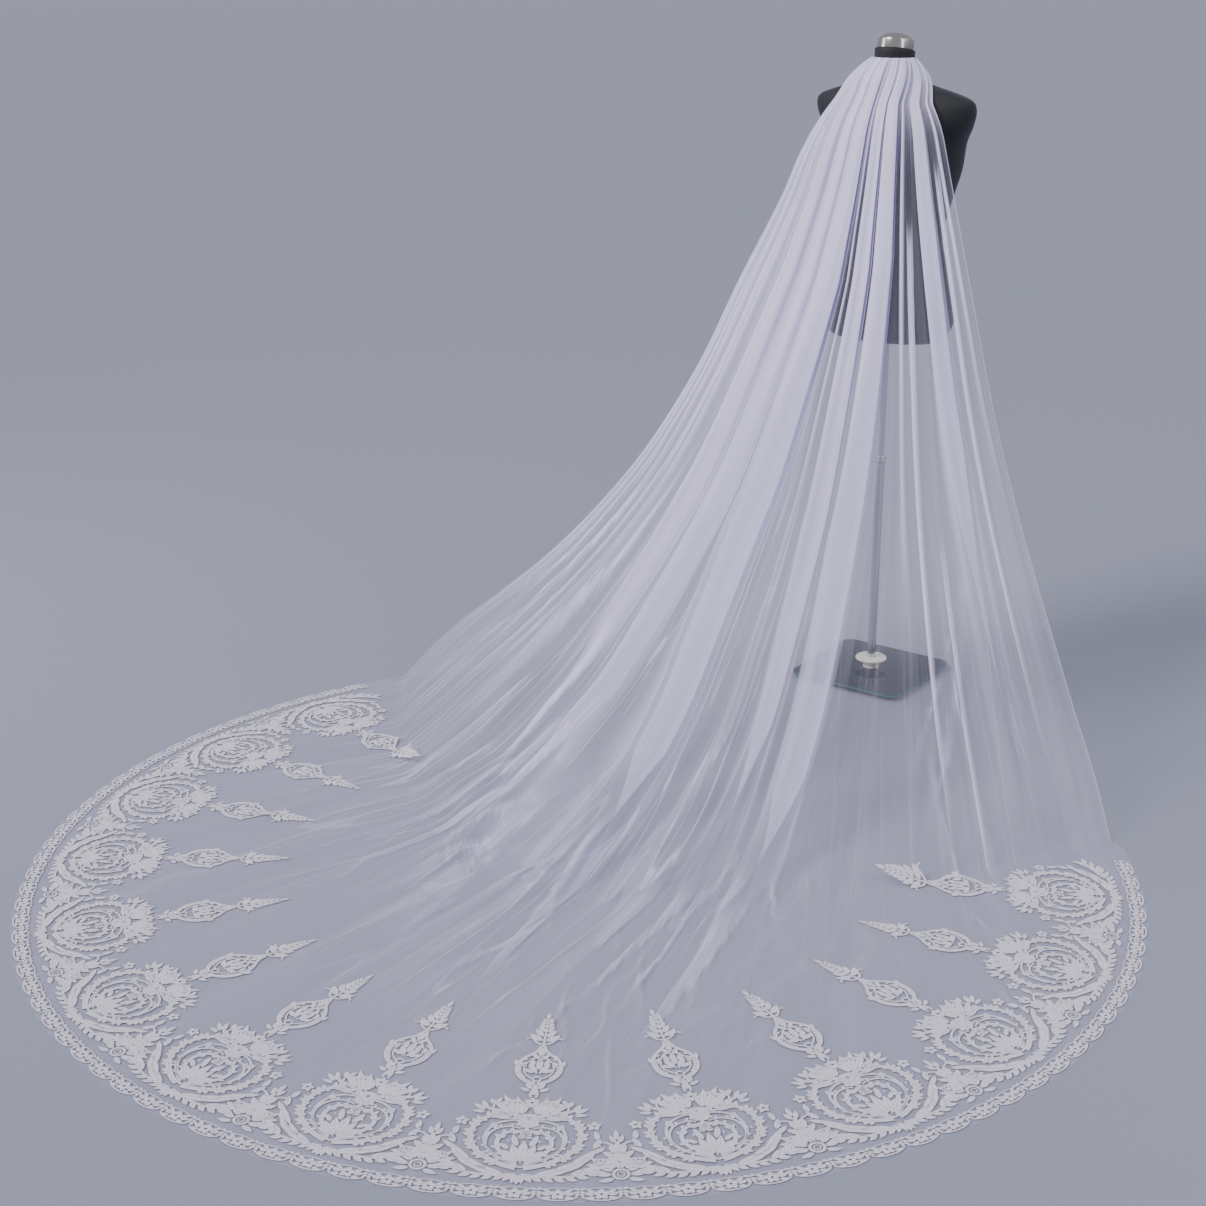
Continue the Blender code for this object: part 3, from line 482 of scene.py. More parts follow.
# How many times closer the threads stand than in open tulle. Small pleats, too fine to model,
# thicken the cloth from the neck down the left and the middle, and in the laps everywhere; right
# of the middle the form shows through the single cloth between them.
crowding = np.interp(reach_grid, (0.05, 0.20, 0.45, 0.80, OPEN_REACH), (9.0, 3.6, 2.0, 1.3, 1.0))
gathered = np.maximum(ease((8.5 - azimuths) / 4.0), ease((closer - 1.2) / 0.9))
bare = ease((azimuths - 4.5) / 4.0) * (1.0 - gathered) * ease((reach_grid - 0.10) / 0.14)
pleated = ease((0.62 - reach_grid) / 0.50) * gathered
crowding *= closer * (1.0 + 1.3 * pleated) * (1.0 - 0.76 * bare * ease((0.70 - reach_grid) / 0.40))

# In front of the pole and the foot the cloth hangs free and is stretched a little more open
clear = ease((azimuths - 12.0) / 6.0) * ease((42.0 - azimuths) / 6.0) * (1.0 - gathered)
clear *= ease((reach_grid - 0.38) / 0.20) * ease((1.15 - reach_grid) / 0.25)
crowding *= 1.0 - 0.40 * clear

# Where the shader draws sharp small folds: on the fall and the train, fading out before the lace
hem_azimuths = np.linspace(LEFT_EDGE, RIGHT_EDGE, 120)
hem_grid = np.interp(azimuths, hem_azimuths, [hem_reach(azimuth) for azimuth in hem_azimuths])
sharp_folds = ease((hem_grid - reach_grid - 0.34) / 0.30) * ease((reach_grid - 0.16) / 0.80)
sharp_folds *= 0.25 + 0.75 * ease((19.0 - azimuths) / 8.0)
sharp_folds *= 1.0 - 0.75 * ease((closer - 1.35) / 0.4)

shape = bmesh.new()
fan = shape.loops.layers.uv.new("fan")
net = shape.loops.layers.uv.new("net")
rays = shape.loops.layers.uv.new("rays")
closeness = shape.verts.layers.float.new("closeness")
folds = shape.verts.layers.float.new("sharp_folds")
bmesh.ops.create_grid(shape, x_segments=columns - 1, y_segments=ROWS - 1, size=1.0)
shape.verts.index_update()
for corner in shape.verts:
    place = divmod(corner.index, columns)
    corner.co = points[place]
    corner[closeness] = crowding[place]
    corner[folds] = sharp_folds[place]
for face in shape.faces:
    face.smooth = True
    for loop in face.loops:
        row, column = divmod(loop.vert.index, columns)
        loop[fan].uv = (column / (columns - 1), shares[row])
        loop[net].uv = (flat_across[column], flat_down[row])
        loop[rays].uv = (azimuths[row, column], reach_grid[row, column])
shape.normal_update()
if sum(face.normal.z for face in shape.faces) < 0.0:
    bmesh.ops.reverse_faces(shape, faces=shape.faces)
tulle_surface = BVHTree.FromBMesh(shape)
tulle_mesh = bpy.data.meshes.new("tulle_sheet")
shape.to_mesh(tulle_mesh)
shape.free()
tulle = bpy.data.objects.new("tulle_sheet", tulle_mesh)
bpy.context.scene.collection.objects.link(tulle)


def linear(hex_colour):
    """An sRGB hex colour as the linear colour that a shader takes."""
    parts = [int(hex_colour[index:index + 2], 16) / 255.0 for index in (1, 3, 5)]
    parts = [part / 12.92 if part <= 0.04045 else ((part + 0.055) / 1.055) ** 2.4 for part in parts]
    return (*parts, 1.0)


def set_inputs(node, inputs):
    """Give each named input of a node its value, or another node's output to read."""
    for name, given in inputs.items():
        if isinstance(given, bpy.types.NodeSocket):
            node.id_data.links.new(given, node.inputs[name])
        else:
            node.inputs[name].default_value = given


def add_node(tree, kind, inputs, settings=(), output=0):
    """Add a node with its inputs and settings, and return the output that others read."""
    node = tree.nodes.new(kind)
    for name, value in dict(settings).items():
        setattr(node, name, value)
    set_inputs(node, inputs)
    return node.outputs[output]


def new_material(name):
    """A material with its Principled shader, as the material, its nodes and the shader."""
    made = bpy.data.materials.new(name)
    made.use_nodes = True
    return made, made.node_tree, made.node_tree.nodes["Principled BSDF"]


# Nylon tulle, knitted and heat-set: cool white with a lilac cast, sheer where it hangs single and
# milky where it is laid over itself or gathered. Its cells are 1.5 mm across, too fine to show in
# the render, so they are drawn at 3 mm.
NET_CELL = 0.003
SHEER = 0.12

# A Mix node's own numbers for its factor, its two colours and the colour that comes out
FACTOR, COLOUR_A, COLOUR_B, MIXED = 0, 6, 7, 2

tulle_net, tree, shader = new_material("nylon_tulle")
net_place, fan_place, ray_place = (
    add_node(tree, "ShaderNodeUVMap", {}, {"uv_map": name}) for name in ("net", "fan", "rays")
)
net_turned = add_node(tree, "ShaderNodeMapping", {
    "Vector": net_place, "Rotation": (0.0, 0.0, math.radians(45.0)),
    "Scale": (math.pi / NET_CELL, math.pi / NET_CELL, 1.0),
})
net_sides = add_node(tree, "ShaderNodeSeparateXYZ", {"Vector": net_turned}).node.outputs
waves = {
    place: add_node(tree, "ShaderNodeMath", {0: net_sides[side]}, {"operation": "SINE"})
    for place, side in enumerate("XY")
}
cells = add_node(tree, "ShaderNodeMath", waves, {"operation": "MULTIPLY"})
open_cells = add_node(tree, "ShaderNodeMath", {0: cells}, {"operation": "ABSOLUTE"})
threads = add_node(tree, "ShaderNodeMapRange", {
    "Value": open_cells, "From Min": 0.04, "From Max": 0.40, "To Min": 1.45, "To Max": 0.78,
})
streak_place = add_node(
    tree, "ShaderNodeMapping", {"Vector": fan_place, "Scale": (95.0, 1.6, 1.0)}
)
streaks = add_node(
    tree, "ShaderNodeTexNoise",
    {"Vector": streak_place, "Scale": 1.0, "Detail": 3.0, "Roughness": 0.6},
    {"noise_dimensions": "2D"},
)
streak_range = add_node(tree, "ShaderNodeMapRange", {
    "Value": streaks, "From Min": 0.34, "From Max": 0.68, "To Min": 0.74, "To Max": 1.30,
})

# Sharp small folds along the fall and the train: layers more between two crisp edges, where a
# noise is near its middle. Each set has its scale and shift, half its width and its layers.
SHARP_FOLDS = [
    ((0.30, 1.25), (3.1, 0.4), 0.017, 1.7),
    ((0.55, 0.95), (0.7, 5.2), 0.013, 1.0),
]
CRISP_EDGE = 1.3
close_threads, fold_mask = (
    add_node(tree, "ShaderNodeAttribute", {}, {"attribute_name": name}, "Fac")
    for name in ("closeness", "sharp_folds")
)
for scale, shift, half_width, layers in SHARP_FOLDS:
    fold_shifted = add_node(tree, "ShaderNodeMapping", {
        "Vector": ray_place, "Scale": (*scale, 1.0), "Location": (*shift, 0.0),
    })
    wander = add_node(
        tree, "ShaderNodeTexNoise",
        {"Vector": fold_shifted, "Scale": 1.0, "Detail": 1.0, "Roughness": 0.4},
        {"noise_dimensions": "2D"},
    )
    from_crest = add_node(tree, "ShaderNodeMath", {0: wander, 1: 0.5}, {"operation": "SUBTRACT"})
    off_crest = add_node(tree, "ShaderNodeMath", {0: from_crest}, {"operation": "ABSOLUTE"})
    folded_over = add_node(
        tree, "ShaderNodeMapRange",
        {"Value": off_crest, "From Min": half_width, "From Max": half_width * CRISP_EDGE,
         "To Min": layers, "To Max": 0.0},
        {"interpolation_type": "SMOOTHSTEP"},
    )
    masked = add_node(
        tree, "ShaderNodeMath", {0: folded_over, 1: fold_mask, 2: 1.0}, {"operation": "MULTIPLY_ADD"}
    )
    close_threads = add_node(
        tree, "ShaderNodeMath", {0: close_threads, 1: masked}, {"operation": "MULTIPLY"}
    )

# A layer lets 1 - SHEER of the light through, and layers let that through again and again
let_through = add_node(
    tree, "ShaderNodeMath", {0: 1.0 - SHEER, 1: close_threads}, {"operation": "POWER"}
)
cover = add_node(tree, "ShaderNodeMath", {0: 1.0, 1: let_through}, {"operation": "SUBTRACT"})
streaked = add_node(tree, "ShaderNodeMath", {0: cover, 1: streak_range}, {"operation": "MULTIPLY"})
netted = add_node(
    tree, "ShaderNodeMath", {0: streaked, 1: threads}, {"operation": "MULTIPLY", "use_clamp": True}
)
tint = add_node(
    tree, "ShaderNodeMix",
    {FACTOR: streaks, COLOUR_A: linear("#D7CFF6"), COLOUR_B: linear("#E9E3FF")},
    {"data_type": "RGBA"}, MIXED,
)
set_inputs(shader, {
    "Base Color": tint, "Alpha": netted, "Roughness": 0.55, "Specular IOR Level": 0.35,
    "Sheen Weight": 0.35, "Sheen Roughness": 0.35, "Sheen Tint": linear("#EDE8FF"),
})
tulle_mesh.materials.append(tulle_net)
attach(tulle, "root")
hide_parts("tulle_panel")


# ---------------------------------------------------------------------------------------------
# Lace border. Fourteen like motifs of machine-embroidered white thread, sewn on round the hem:
# a scroll medallion with leaves, two plumes, a pear-shaped bulb and a leaf finial. Cords of
# thread outline it, and padded satin stitch fills its leaves.

MOTIF_COUNT = 14
FIRST_MOTIF = 164.6
MOTIF_PITCH = 17.1
MILLIMETRE = 0.001
SEWN_LIFT = 0.0010
CAST_FROM = 0.6

# Stitching is drawn flat and its padding by painted shade in its material. In millimetres, these
# heights only keep strips that cross apart: a cord's, a leaf's, and how much more a strip rises
# towards its end.
CORD_CROWN = 0.0018
LEAF_CROWN = 0.0020
SHINGLE = 0.0009
NARROW_CROWN = 0.35

# Width of a leaf as shares of its widest, at steps along it
LEAF_STEPS = 7
LEAF_PROFILE = ((0, 0.22), (1, 0.74), (2, 1.00), (4, 0.98), (5, 0.78), (6, 0.44), (7, 0.05))
FLOWER_EYE = 0.16


def arc_path(x, y, heading, arcs, fixed_steps=None, step_turn=14.0, step_length=9.0):
    """Points and directions along joined arcs, each a length and how far it turns, in degrees."""
    path = [(x, y, math.radians(heading))]
    for length, turn in arcs:
        steps = fixed_steps or max(2, math.ceil(max(abs(turn) / step_turn, length / step_length)))
        for _ in range(steps):
            x, y, facing = path[-1]
            facing += math.radians(turn) / steps / 2.0
            x += length / steps * math.cos(facing)
            y += length / steps * math.sin(facing)
            path.append((x, y, facing + math.radians(turn) / steps / 2.0))
    return path


def sew_strip(shape, path, half_widths, crown):
    """Lay a strip of stitching along a path, as wide as half_widths says at each point."""
    steps = len(path) - 1
    strip = bmesh.ops.create_grid(shape, x_segments=steps, y_segments=4, size=0.5)["verts"]
    stitch = shape.verts.layers.float_vector["stitch"]
    lengths = [0.0]
    for one, two in zip(path, path[1:]):
        lengths.append(lengths[-1] + math.dist(one[:2], two[:2]))
    for corner in strip:
        place = round((corner.co.x + 0.5) * steps)
        side = corner.co.y * 2.0
        x, y, facing = path[place]
        width = half_widths[place] * side
        corner[stitch] = (lengths[place], side, width)
        height = crown * (1.0 - side**2) ** 0.5 * min(1.0, NARROW_CROWN + half_widths[place])
        height += SHINGLE * place / steps
        corner.co = (x - math.sin(facing) * width, y + math.cos(facing) * width, height)


def sew_leaf(shape, x, y, heading, length, width, bend=24.0):
    """A leaf of padded satin stitch."""
    path = arc_path(x, y, heading, [(length, bend)], LEAF_STEPS)
    half_widths = [share * width / 2.0 for _, share in LEAF_PROFILE]
    sew_strip(shape, [path[step] for step, _ in LEAF_PROFILE], half_widths, LEAF_CROWN)


def sew_leaves(shape, leaves):
    for leaf in leaves:
        sew_leaf(shape, *leaf)


def sew_stem(shape, x, y, heading, arcs, start_width, end_width):
    """A corded stem whose width changes evenly from its start to its end."""
    path = arc_path(x, y, heading, arcs)
    last = len(path) - 1
    gain = end_width - start_width
    half_widths = [(start_width + gain * index / last) / 2.0 for index in range(last + 1)]
    sew_strip(shape, path, half_widths, CORD_CROWN)
    return path


def sew_flower(shape, x, y, radius, petals, width, turn=0.0):
    for petal in range(petals):
        heading = turn + 360.0 * petal / petals
        out = radius * FLOWER_EYE
        start_x = x + out * math.cos(math.radians(heading))
        start_y = y + out * math.sin(math.radians(heading))
        sew_leaf(shape, start_x, start_y, heading, radius * (1.0 - FLOWER_EYE), width, 0.0)


def sew_leaves_along(shape, path, first, last, count, length, width, lean, side, bend=22.0):
    """Leaves set at even steps along one side of a path, leaning along it."""
    for index in range(count):
        share = first + (last - first) * index / max(1, count - 1)
        x, y, facing = path[round(share * (len(path) - 1))]
        heading = math.degrees(facing) + side * lean
        sew_leaf(shape, x, y, heading, length, width, -side * bend)


# Right half of a motif in millimetres, from the middle line and in from the hem. Each stem is its
# start, its heading, its arcs as length and turn, and its two widths.
STEMS = [
    (4, 60, -8, [(60, 10), (82, 44)], 8.0, 2.5),
    (6, 76, 14, [(60, 24), (74, 62), (70, 70), (34, 60), (26, 150)], 11.0, 6.0),
    (5, 92, 24, [(40, 30), (44, 70), (38, 88), (22, 190)], 9.0, 4.6),
    (12, 88, 16, [(46, 34), (56, 72), (50, 84)], 6.0, 3.6),
    (0, 79, 0, [(28.3, 180)], 4.5, 4.5),
    (14, 204, -14, [(40, 56), (26, 60), (18, 160)], 5.0, 2.4),
    (5, 230, 80, [(30, -60), (26, -150)], 5.5, 2.6),
    (4, 262, 70, [(28, 60), (20, -200)], 5.0, 2.6),
    (2, 300, 14, [(60, 76), (44, 50), (34, -44)], 9.0, 5.5),
    (4, 313, 22, [(42, 72), (30, 52), (26, -30)], 3.6, 2.4),
    (2, 330, 58, [(36, 20), (22, 150), (12, 90)], 4.4, 2.4),
    (0, 307, 0, [(20, 180)], 4.0, 4.0),
    (3, 416, 16, [(20, 50), (18, -150)], 5.0, 3.0),
    (5, 84, 19, [(50, 26), (62, 64), (58, 74), (30, 96)], 6.5, 3.4),
]

# Each leaf is its start, its heading, its length, its width and how far it bends
LEAVES = [
    (26, 62, 6, 62, 17, 30), (50, 70, 16, 64, 19, 34), (76, 84, 34, 56, 18, 30),
    (4, 98, 62, 40, 15, 16), (6, 97, 34, 34, 14, 18), (7, 95, 8, 26, 11, 18),
    (2, 60, -68, 22, 10, -14), (7, 60, -42, 23, 10, -14), (12, 60, -18, 20, 10, -10),
    (10, 132, 62, 30, 11, 22), (22, 124, 30, 20, 9, 22), (4, 180, 52, 26, 11, 26),
    (13, 216, 106, 34, 11, -14), (16, 217, 84, 46, 13, -10), (20, 217, 62, 54, 14, -4),
    (24, 214, 40, 54, 14, 4), (27, 209, 19, 46, 13, 10), (28, 204, -2, 34, 11, 14),
    (70, 224, 74, 22, 10, -20), (72, 220, 40, 24, 10, -16), (72, 214, 8, 20, 9, -10),
    (6, 286, 56, 20, 10, 20), (8, 280, 18, 18, 9, 16), (3, 336, 48, 26, 11, 18),
    (6, 333, 16, 22, 10, 16), (10, 352, 84, 20, 9, -20), (3, 372, 50, 20, 9, 18),
    (24, 346, 78, 17, 8, 22), (36, 350, 66, 17, 9, 20), (3, 428, 24, 28, 14, 24),
    (3, 440, 46, 25, 12, 22), (108, 128, 62, 26, 11, 16), (104, 116, 24, 26, 11, 18),
    (112, 150, 96, 22, 10, 16),
]
FINIAL_LEAVES = [
    (2, 454, 48, 20, 9, 22), (2, 466, 48, 17, 8, 20), (2, 477, 48, 14, 7, 18),
    (2, 487, 50, 11, 6, 14),
]
MIDDLE_LEAVES = [
    (0, 100, 90, 46, 16, 0), (0, 58, -90, 21, 10, 0), (0, 184, 90, 34, 12, 0),
    (0, 268, 90, 30, 11, 0), (0, 342, 90, 34, 12, 0), (0, 380, 90, 26, 10, 0),
    (0, 494, 90, 21, 8, 0),
]

# Rows of leaves along the stems: the stem, the shares of its way where the row starts and ends,
# and the leaves' count, length, width, lean, side and bend
LEAF_ROWS = [
    (0, 0.14, 1.00, 9, 21, 10, 40, -1, 12.0),
    (0, 0.52, 1.00, 6, 27, 11, 40, 1, 14.0),
    (1, 0.10, 0.76, 20, 13, 9, 74, -1, 8.0),
    (1, 0.14, 0.70, 13, 11, 6, 52, 1, 10.0),
    (2, 0.12, 0.66, 8, 11, 6.5, 60, -1, 10.0),
    (2, 0.20, 0.62, 5, 13, 7, 48, 1, 20.0),
    (3, 0.15, 0.90, 9, 9, 5.5, 60, -1, 10.0),
    (5, 0.30, 0.80, 4, 16, 8, 46, -1, 16.0),
    (6, 0.20, 0.60, 3, 13, 7, 50, -1, 16.0),
    (8, 0.16, 0.60, 7, 10, 7, 60, 1, 10.0),
]


def new_stitching():
    shape = bmesh.new()
    shape.verts.layers.float_vector.new("stitch")
    return shape


def add_left_half(shape):
    """Add to the right half of a flat piece of lace its mirror image."""
    everything = shape.verts[:] + shape.edges[:] + shape.faces[:]
    copied = bmesh.ops.duplicate(shape, geom=everything)["geom"]
    corners = [item for item in copied if isinstance(item, bmesh.types.BMVert)]
    bmesh.ops.transform(shape, matrix=Matrix.Scale(-1.0, 4, (1.0, 0.0, 0.0)), verts=corners)


def as_blank(name, shape):
    """Turn every face of a flat piece of lace up, and keep it as a blank to be sewn on."""
    shape.normal_update()
    downward = [face for face in shape.faces if face.normal.z < 0.0]
    bmesh.ops.reverse_faces(shape, faces=downward)
    blank = bpy.data.meshes.new(name)
    shape.to_mesh(blank)
    shape.free()
    return blank


half = new_stitching()
paths = [sew_stem(half, *stem) for stem in STEMS]
sew_leaves(half, LEAVES)
for stem, *leaf_row in LEAF_ROWS:
    sew_leaves_along(half, paths[stem], *leaf_row)
sew_leaves(half, FINIAL_LEAVES)
add_left_half(half)
sew_leaves(half, MIDDLE_LEAVES)
sew_stem(half, 0, 408, 90, [(88, 0)], 5.0, 2.4)
sew_flower(half, 0, 247, 14, 6, 9, 30.0)
sew_flower(half, 0, 170, 10, 5, 7, 90.0)
for side in (1, -1):
    sew_flower(half, side * 104, 186, 12, 5, 8.5, 20.0)
    sew_flower(half, side * 52, 182, 8, 5, 6, 50.0)
motif_blank = as_blank("motif_blank", half)


def tulle_under(middle, across, inward):
    """Point of the tulle and its normal, aside of an angle round the hem and in from the hem."""
    radius = HEM_RADIUS - inward
    turn = math.radians(middle + math.degrees(across / radius))
    x = HEM_CENTRE.x + radius * math.cos(turn)
    y = HEM_CENTRE.y + radius * math.sin(turn)
    return tulle_surface.ray_cast(Vector((x, y, CAST_FROM)), Vector((0.0, 0.0, -1.0)))[:2]


def sew_on(shape, blank, middle):
    """Copy a flat blank onto the tulle, with its middle line at an angle round the hem."""
    known = len(shape.verts)
    missed = []
    shape.from_mesh(blank)
    shape.verts.ensure_lookup_table()
    for corner in shape.verts[known:]:
        across, inward, height = corner.co * MILLIMETRE
        hit, normal = tulle_under(middle, across, inward)
        if hit is None:
            missed.append(corner)
            continue
        if normal.z < 0.0:
            normal = -normal
        corner.co = hit + normal * (height + SEWN_LIFT)
    bmesh.ops.delete(shape, geom=missed, context="VERTS")


def add_piece(name, shape, finish):
    """Turn a mesh into a smooth piece of its material, riding on the one body."""
    mesh = bpy.data.meshes.new(name)
    for face in shape.faces:
        face.smooth = True
    shape.to_mesh(mesh)
    shape.free()
    mesh.materials.append(finish)
    made = bpy.data.objects.new(name, mesh)
    bpy.context.scene.collection.objects.link(made)
    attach(made, "root")
    return made


def bands_scale(pitch):
    """Scale at which the bands of a Wave texture lie one pitch apart."""
    return math.pi / (10.0 * pitch) * 2.0


# Embroidery thread, mercerised cotton in satin stitch: white with a lilac cast, with fine ribs
# across.
# The middle and the edges of each leaf and cord carry painted shade: a grey is mixed into the colour
# where padding would shade them, since the stitching itself is flat. Its stitches lie 0.4 mm apart,
# too fine to show, so they are drawn at 1.3 mm.
STITCH_PITCH = 1.3
embroidery, tree, shader = new_material("embroidered_lace")
stitch_place = add_node(
    tree, "ShaderNodeAttribute", {}, {"attribute_name": "stitch"}, "Vector"
)
stitches = add_node(
    tree, "ShaderNodeTexWave",
    {"Vector": stitch_place, "Scale": bands_scale(STITCH_PITCH), "Distortion": 0.6, "Detail": 1.0},
    {"wave_type": "BANDS", "bands_direction": "X"}, "Fac",
)
stitch_side = add_node(tree, "ShaderNodeSeparateXYZ", {"Vector": stitch_place}, {}, "Y")
from_middle = add_node(tree, "ShaderNodeMath", {0: stitch_side}, {"operation": "ABSOLUTE"})
thread_tint_and_painted_shade = add_node(
    tree, "ShaderNodeMix",
    {FACTOR: stitches, COLOUR_A: linear("#D5CCDE"), COLOUR_B: linear("#F6EEFC")},
    {"data_type": "RGBA"}, MIXED,
)
# Painted shade: grey mixed in towards each strip's edges and along its middle line, in place of the
# shade of padding
for start, end, start_painted_shade, end_painted_shade in ((0.60, 1.0, 0.0, 0.62), (0.05, 0.20, 0.50, 0.0)):
    painted_shade = add_node(
        tree, "ShaderNodeMapRange",
        {"Value": from_middle, "From Min": start, "From Max": end,
         "To Min": start_painted_shade, "To Max": end_painted_shade},
        {"interpolation_type": "SMOOTHSTEP"},
    )
    thread_tint_and_painted_shade = add_node(
        tree, "ShaderNodeMix",
        {FACTOR: painted_shade, COLOUR_A: thread_tint_and_painted_shade, COLOUR_B: linear("#8D8B9A")},
        {"data_type": "RGBA"}, MIXED,
    )
relief = add_node(
    tree, "ShaderNodeBump", {"Height": stitches, "Strength": 0.5, "Distance": 0.0004}
)
set_inputs(shader, {
    "Base Color": thread_tint_and_painted_shade, "Normal": relief, "Roughness": 0.62,
    "Sheen Weight": 0.25, "Sheen Roughness": 0.4,
})

for index in range(MOTIF_COUNT):
    shape = new_stitching()
    sew_on(shape, motif_blank, FIRST_MOTIF + MOTIF_PITCH * index)
    motif = add_piece(f"lace_{index + 1:02d}", shape, embroidery)
    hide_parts(f"lace_motif_{index + 1:02d}")


# ---------------------------------------------------------------------------------------------
# Links between the motifs. A small rosette with a sprig each way, of the same thread, fills the
# space between each two medallions.

LINK_STEMS = [
    (2, 78, 70, [(34, 40), (24, 150)], 5.5, 2.6),
    (3, 92, 40, [(30, -50), (24, -170)], 5.0, 2.6),
    (2, 128, 62, [(26, -50), (18, -180)], 4.5, 2.4),
    (0, 51, 0, [(36, 180)], 5.0, 5.0),
    (0, 57, 0, [(17, 180)], 2.4, 2.4),
]
LINK_LEAVES = [
    (4, 84, 8, 24, 11, 16), (6, 104, 34, 24, 11, 16), (4, 116, 60, 22, 10, 16),
    (3, 142, 62, 20, 9, 16), (12, 52, -22, 24, 10, 16), (15, 62, 0, 26, 11, 16),
    (12, 72, 20, 22, 10, 14), (30, 92, 40, 18, 8, 12), (34, 84, 8, 18, 8, 12),
]
link = new_stitching()
paths = [sew_stem(link, *stem) for stem in LINK_STEMS]
sew_leaves_along(link, paths[1], 0.10, 0.70, 4, 15, 8, 50, -1)
sew_leaves(link, LINK_LEAVES)
add_left_half(link)
sew_leaves(link, [(0, 84, 90, 32, 12, 0), (0, 118, 90, 28, 11, 0), (0, 150, 90, 24, 9, 0)])
link_blank = as_blank("link_blank", link)
shape = new_stitching()
for index in range(MOTIF_COUNT - 1):
    sew_on(shape, link_blank, FIRST_MOTIF + MOTIF_PITCH * (index + 0.5))
links = add_piece("lace_links", shape, embroidery)


# ---------------------------------------------------------------------------------------------
# Scalloped edging. A narrow lace of small five-petalled flowers and leaves on a corded scallop,
# sewn along the whole hem.

SCALLOPS_PER_MOTIF = 5
SCALLOP_LEAVES = [
    (11, 15, 10, 16, 8, 14), (11, 20, 40, 13, 7, -14), (10, 9, -18, 14, 7, 20),
    (32, 22, 200, 10, 6, 10), (32, 26, 150, 10, 5.5, -10), (32, 17, 214, 9, 5.5, 10),
]
scallop_pitch = MOTIF_PITCH / SCALLOPS_PER_MOTIF
scallop_half = HEM_RADIUS / MILLIMETRE * math.radians(scallop_pitch) / 2.0
unit = new_stitching()
sew_stem(unit, 0, 1.6, 0, [(18, 14), (scallop_half - 18.5, 34)], 3.4, 3.0)
sew_stem(unit, 0, 31, 0, [(scallop_half * 0.5, -14), (scallop_half * 0.5, 14)], 2.2, 2.2)
sew_leaves(unit, SCALLOP_LEAVES)
add_left_half(unit)
sew_flower(unit, 0, 16, 13, 5, 10, 90.0)
unit_blank = as_blank("scallop_blank", unit)
shape = new_stitching()
first_scallop = FIRST_MOTIF - MOTIF_PITCH / 2.0 + scallop_pitch / 2.0
for index in range(MOTIF_COUNT * SCALLOPS_PER_MOTIF):
    sew_on(shape, unit_blank, first_scallop + scallop_pitch * index)
edging = add_piece("scallops", shape, embroidery)
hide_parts("scallop_edging")


# ---------------------------------------------------------------------------------------------
# Crystals. A few small cut-glass beads on each motif, which catch the light.

BEAD_RADIUS = 0.0017
BEAD_LIFT = 0.0030
BEAD_PLACES = [
    (0, 88), (24, 140), (-24, 140), (70, 140), (-70, 140), (0, 170), (0, 247), (28, 352),
    (-28, 352), (0, 315), (0, 452), (104, 186), (-104, 186),
]
shape = bmesh.new()
rise = Vector((0.0, 0.0, BEAD_LIFT + BEAD_RADIUS * 0.6))
for index in range(MOTIF_COUNT):
    for across, inward in BEAD_PLACES:
        middle = FIRST_MOTIF + MOTIF_PITCH * index
        hit, _ = tulle_under(middle, across * MILLIMETRE, inward * MILLIMETRE)
        bmesh.ops.create_icosphere(
            shape, subdivisions=1, radius=BEAD_RADIUS, matrix=Matrix.Translation(hit + rise)
        )

# Lead crystal, cut: clear, hard and bright, with small flats that the relief stands for.
crystal, tree, shader = new_material("cut_crystal")
place = add_node(tree, "ShaderNodeTexCoord", {}, {}, "Object")
glints = add_node(tree, "ShaderNodeTexNoise", {"Vector": place, "Scale": 400.0})
relief = add_node(tree, "ShaderNodeBump", {"Height": glints, "Strength": 0.3, "Distance": 0.0004})
set_inputs(shader, {
    "Base Color": linear("#F4F6FF"), "Normal": relief, "Roughness": 0.04, "Coat Weight": 1.0,
})
crystals = add_piece("crystals", shape, crystal)
for face in crystals.data.polygons:
    face.use_smooth = False


# ---------------------------------------------------------------------------------------------
# Heading band. The tulle's gathers are sewn to a narrow satin tape that lies round the back of
# the neck.

BAND_RADIUS = 0.0459
BAND_WALL = 0.0012
BAND_LOW = 1.484
BAND_HIGH = 1.4965
BAND_FROM = -72.0
BAND_TO = 106.0
RIB_PITCH = 0.0012
shape = bmesh.new()
tape = bmesh.ops.create_grid(shape, x_segments=120, y_segments=4, size=0.5)["verts"]
for corner in tape:
    turn = math.radians(BAND_FROM + (BAND_TO - BAND_FROM) * (corner.co.x + 0.5))
    radius = BAND_RADIUS + 0.0002 * math.cos(turn * 60.0)
    height = BAND_LOW + (BAND_HIGH - BAND_LOW) * (corner.co.y + 0.5)
    corner.co = (radius * math.sin(turn), NECK_Y - radius * math.cos(turn), height)
bmesh.ops.recalc_face_normals(shape, faces=shape.faces)
bmesh.ops.solidify(shape, geom=shape.faces[:], thickness=-BAND_WALL)
bmesh.ops.recalc_face_normals(shape, faces=shape.faces)

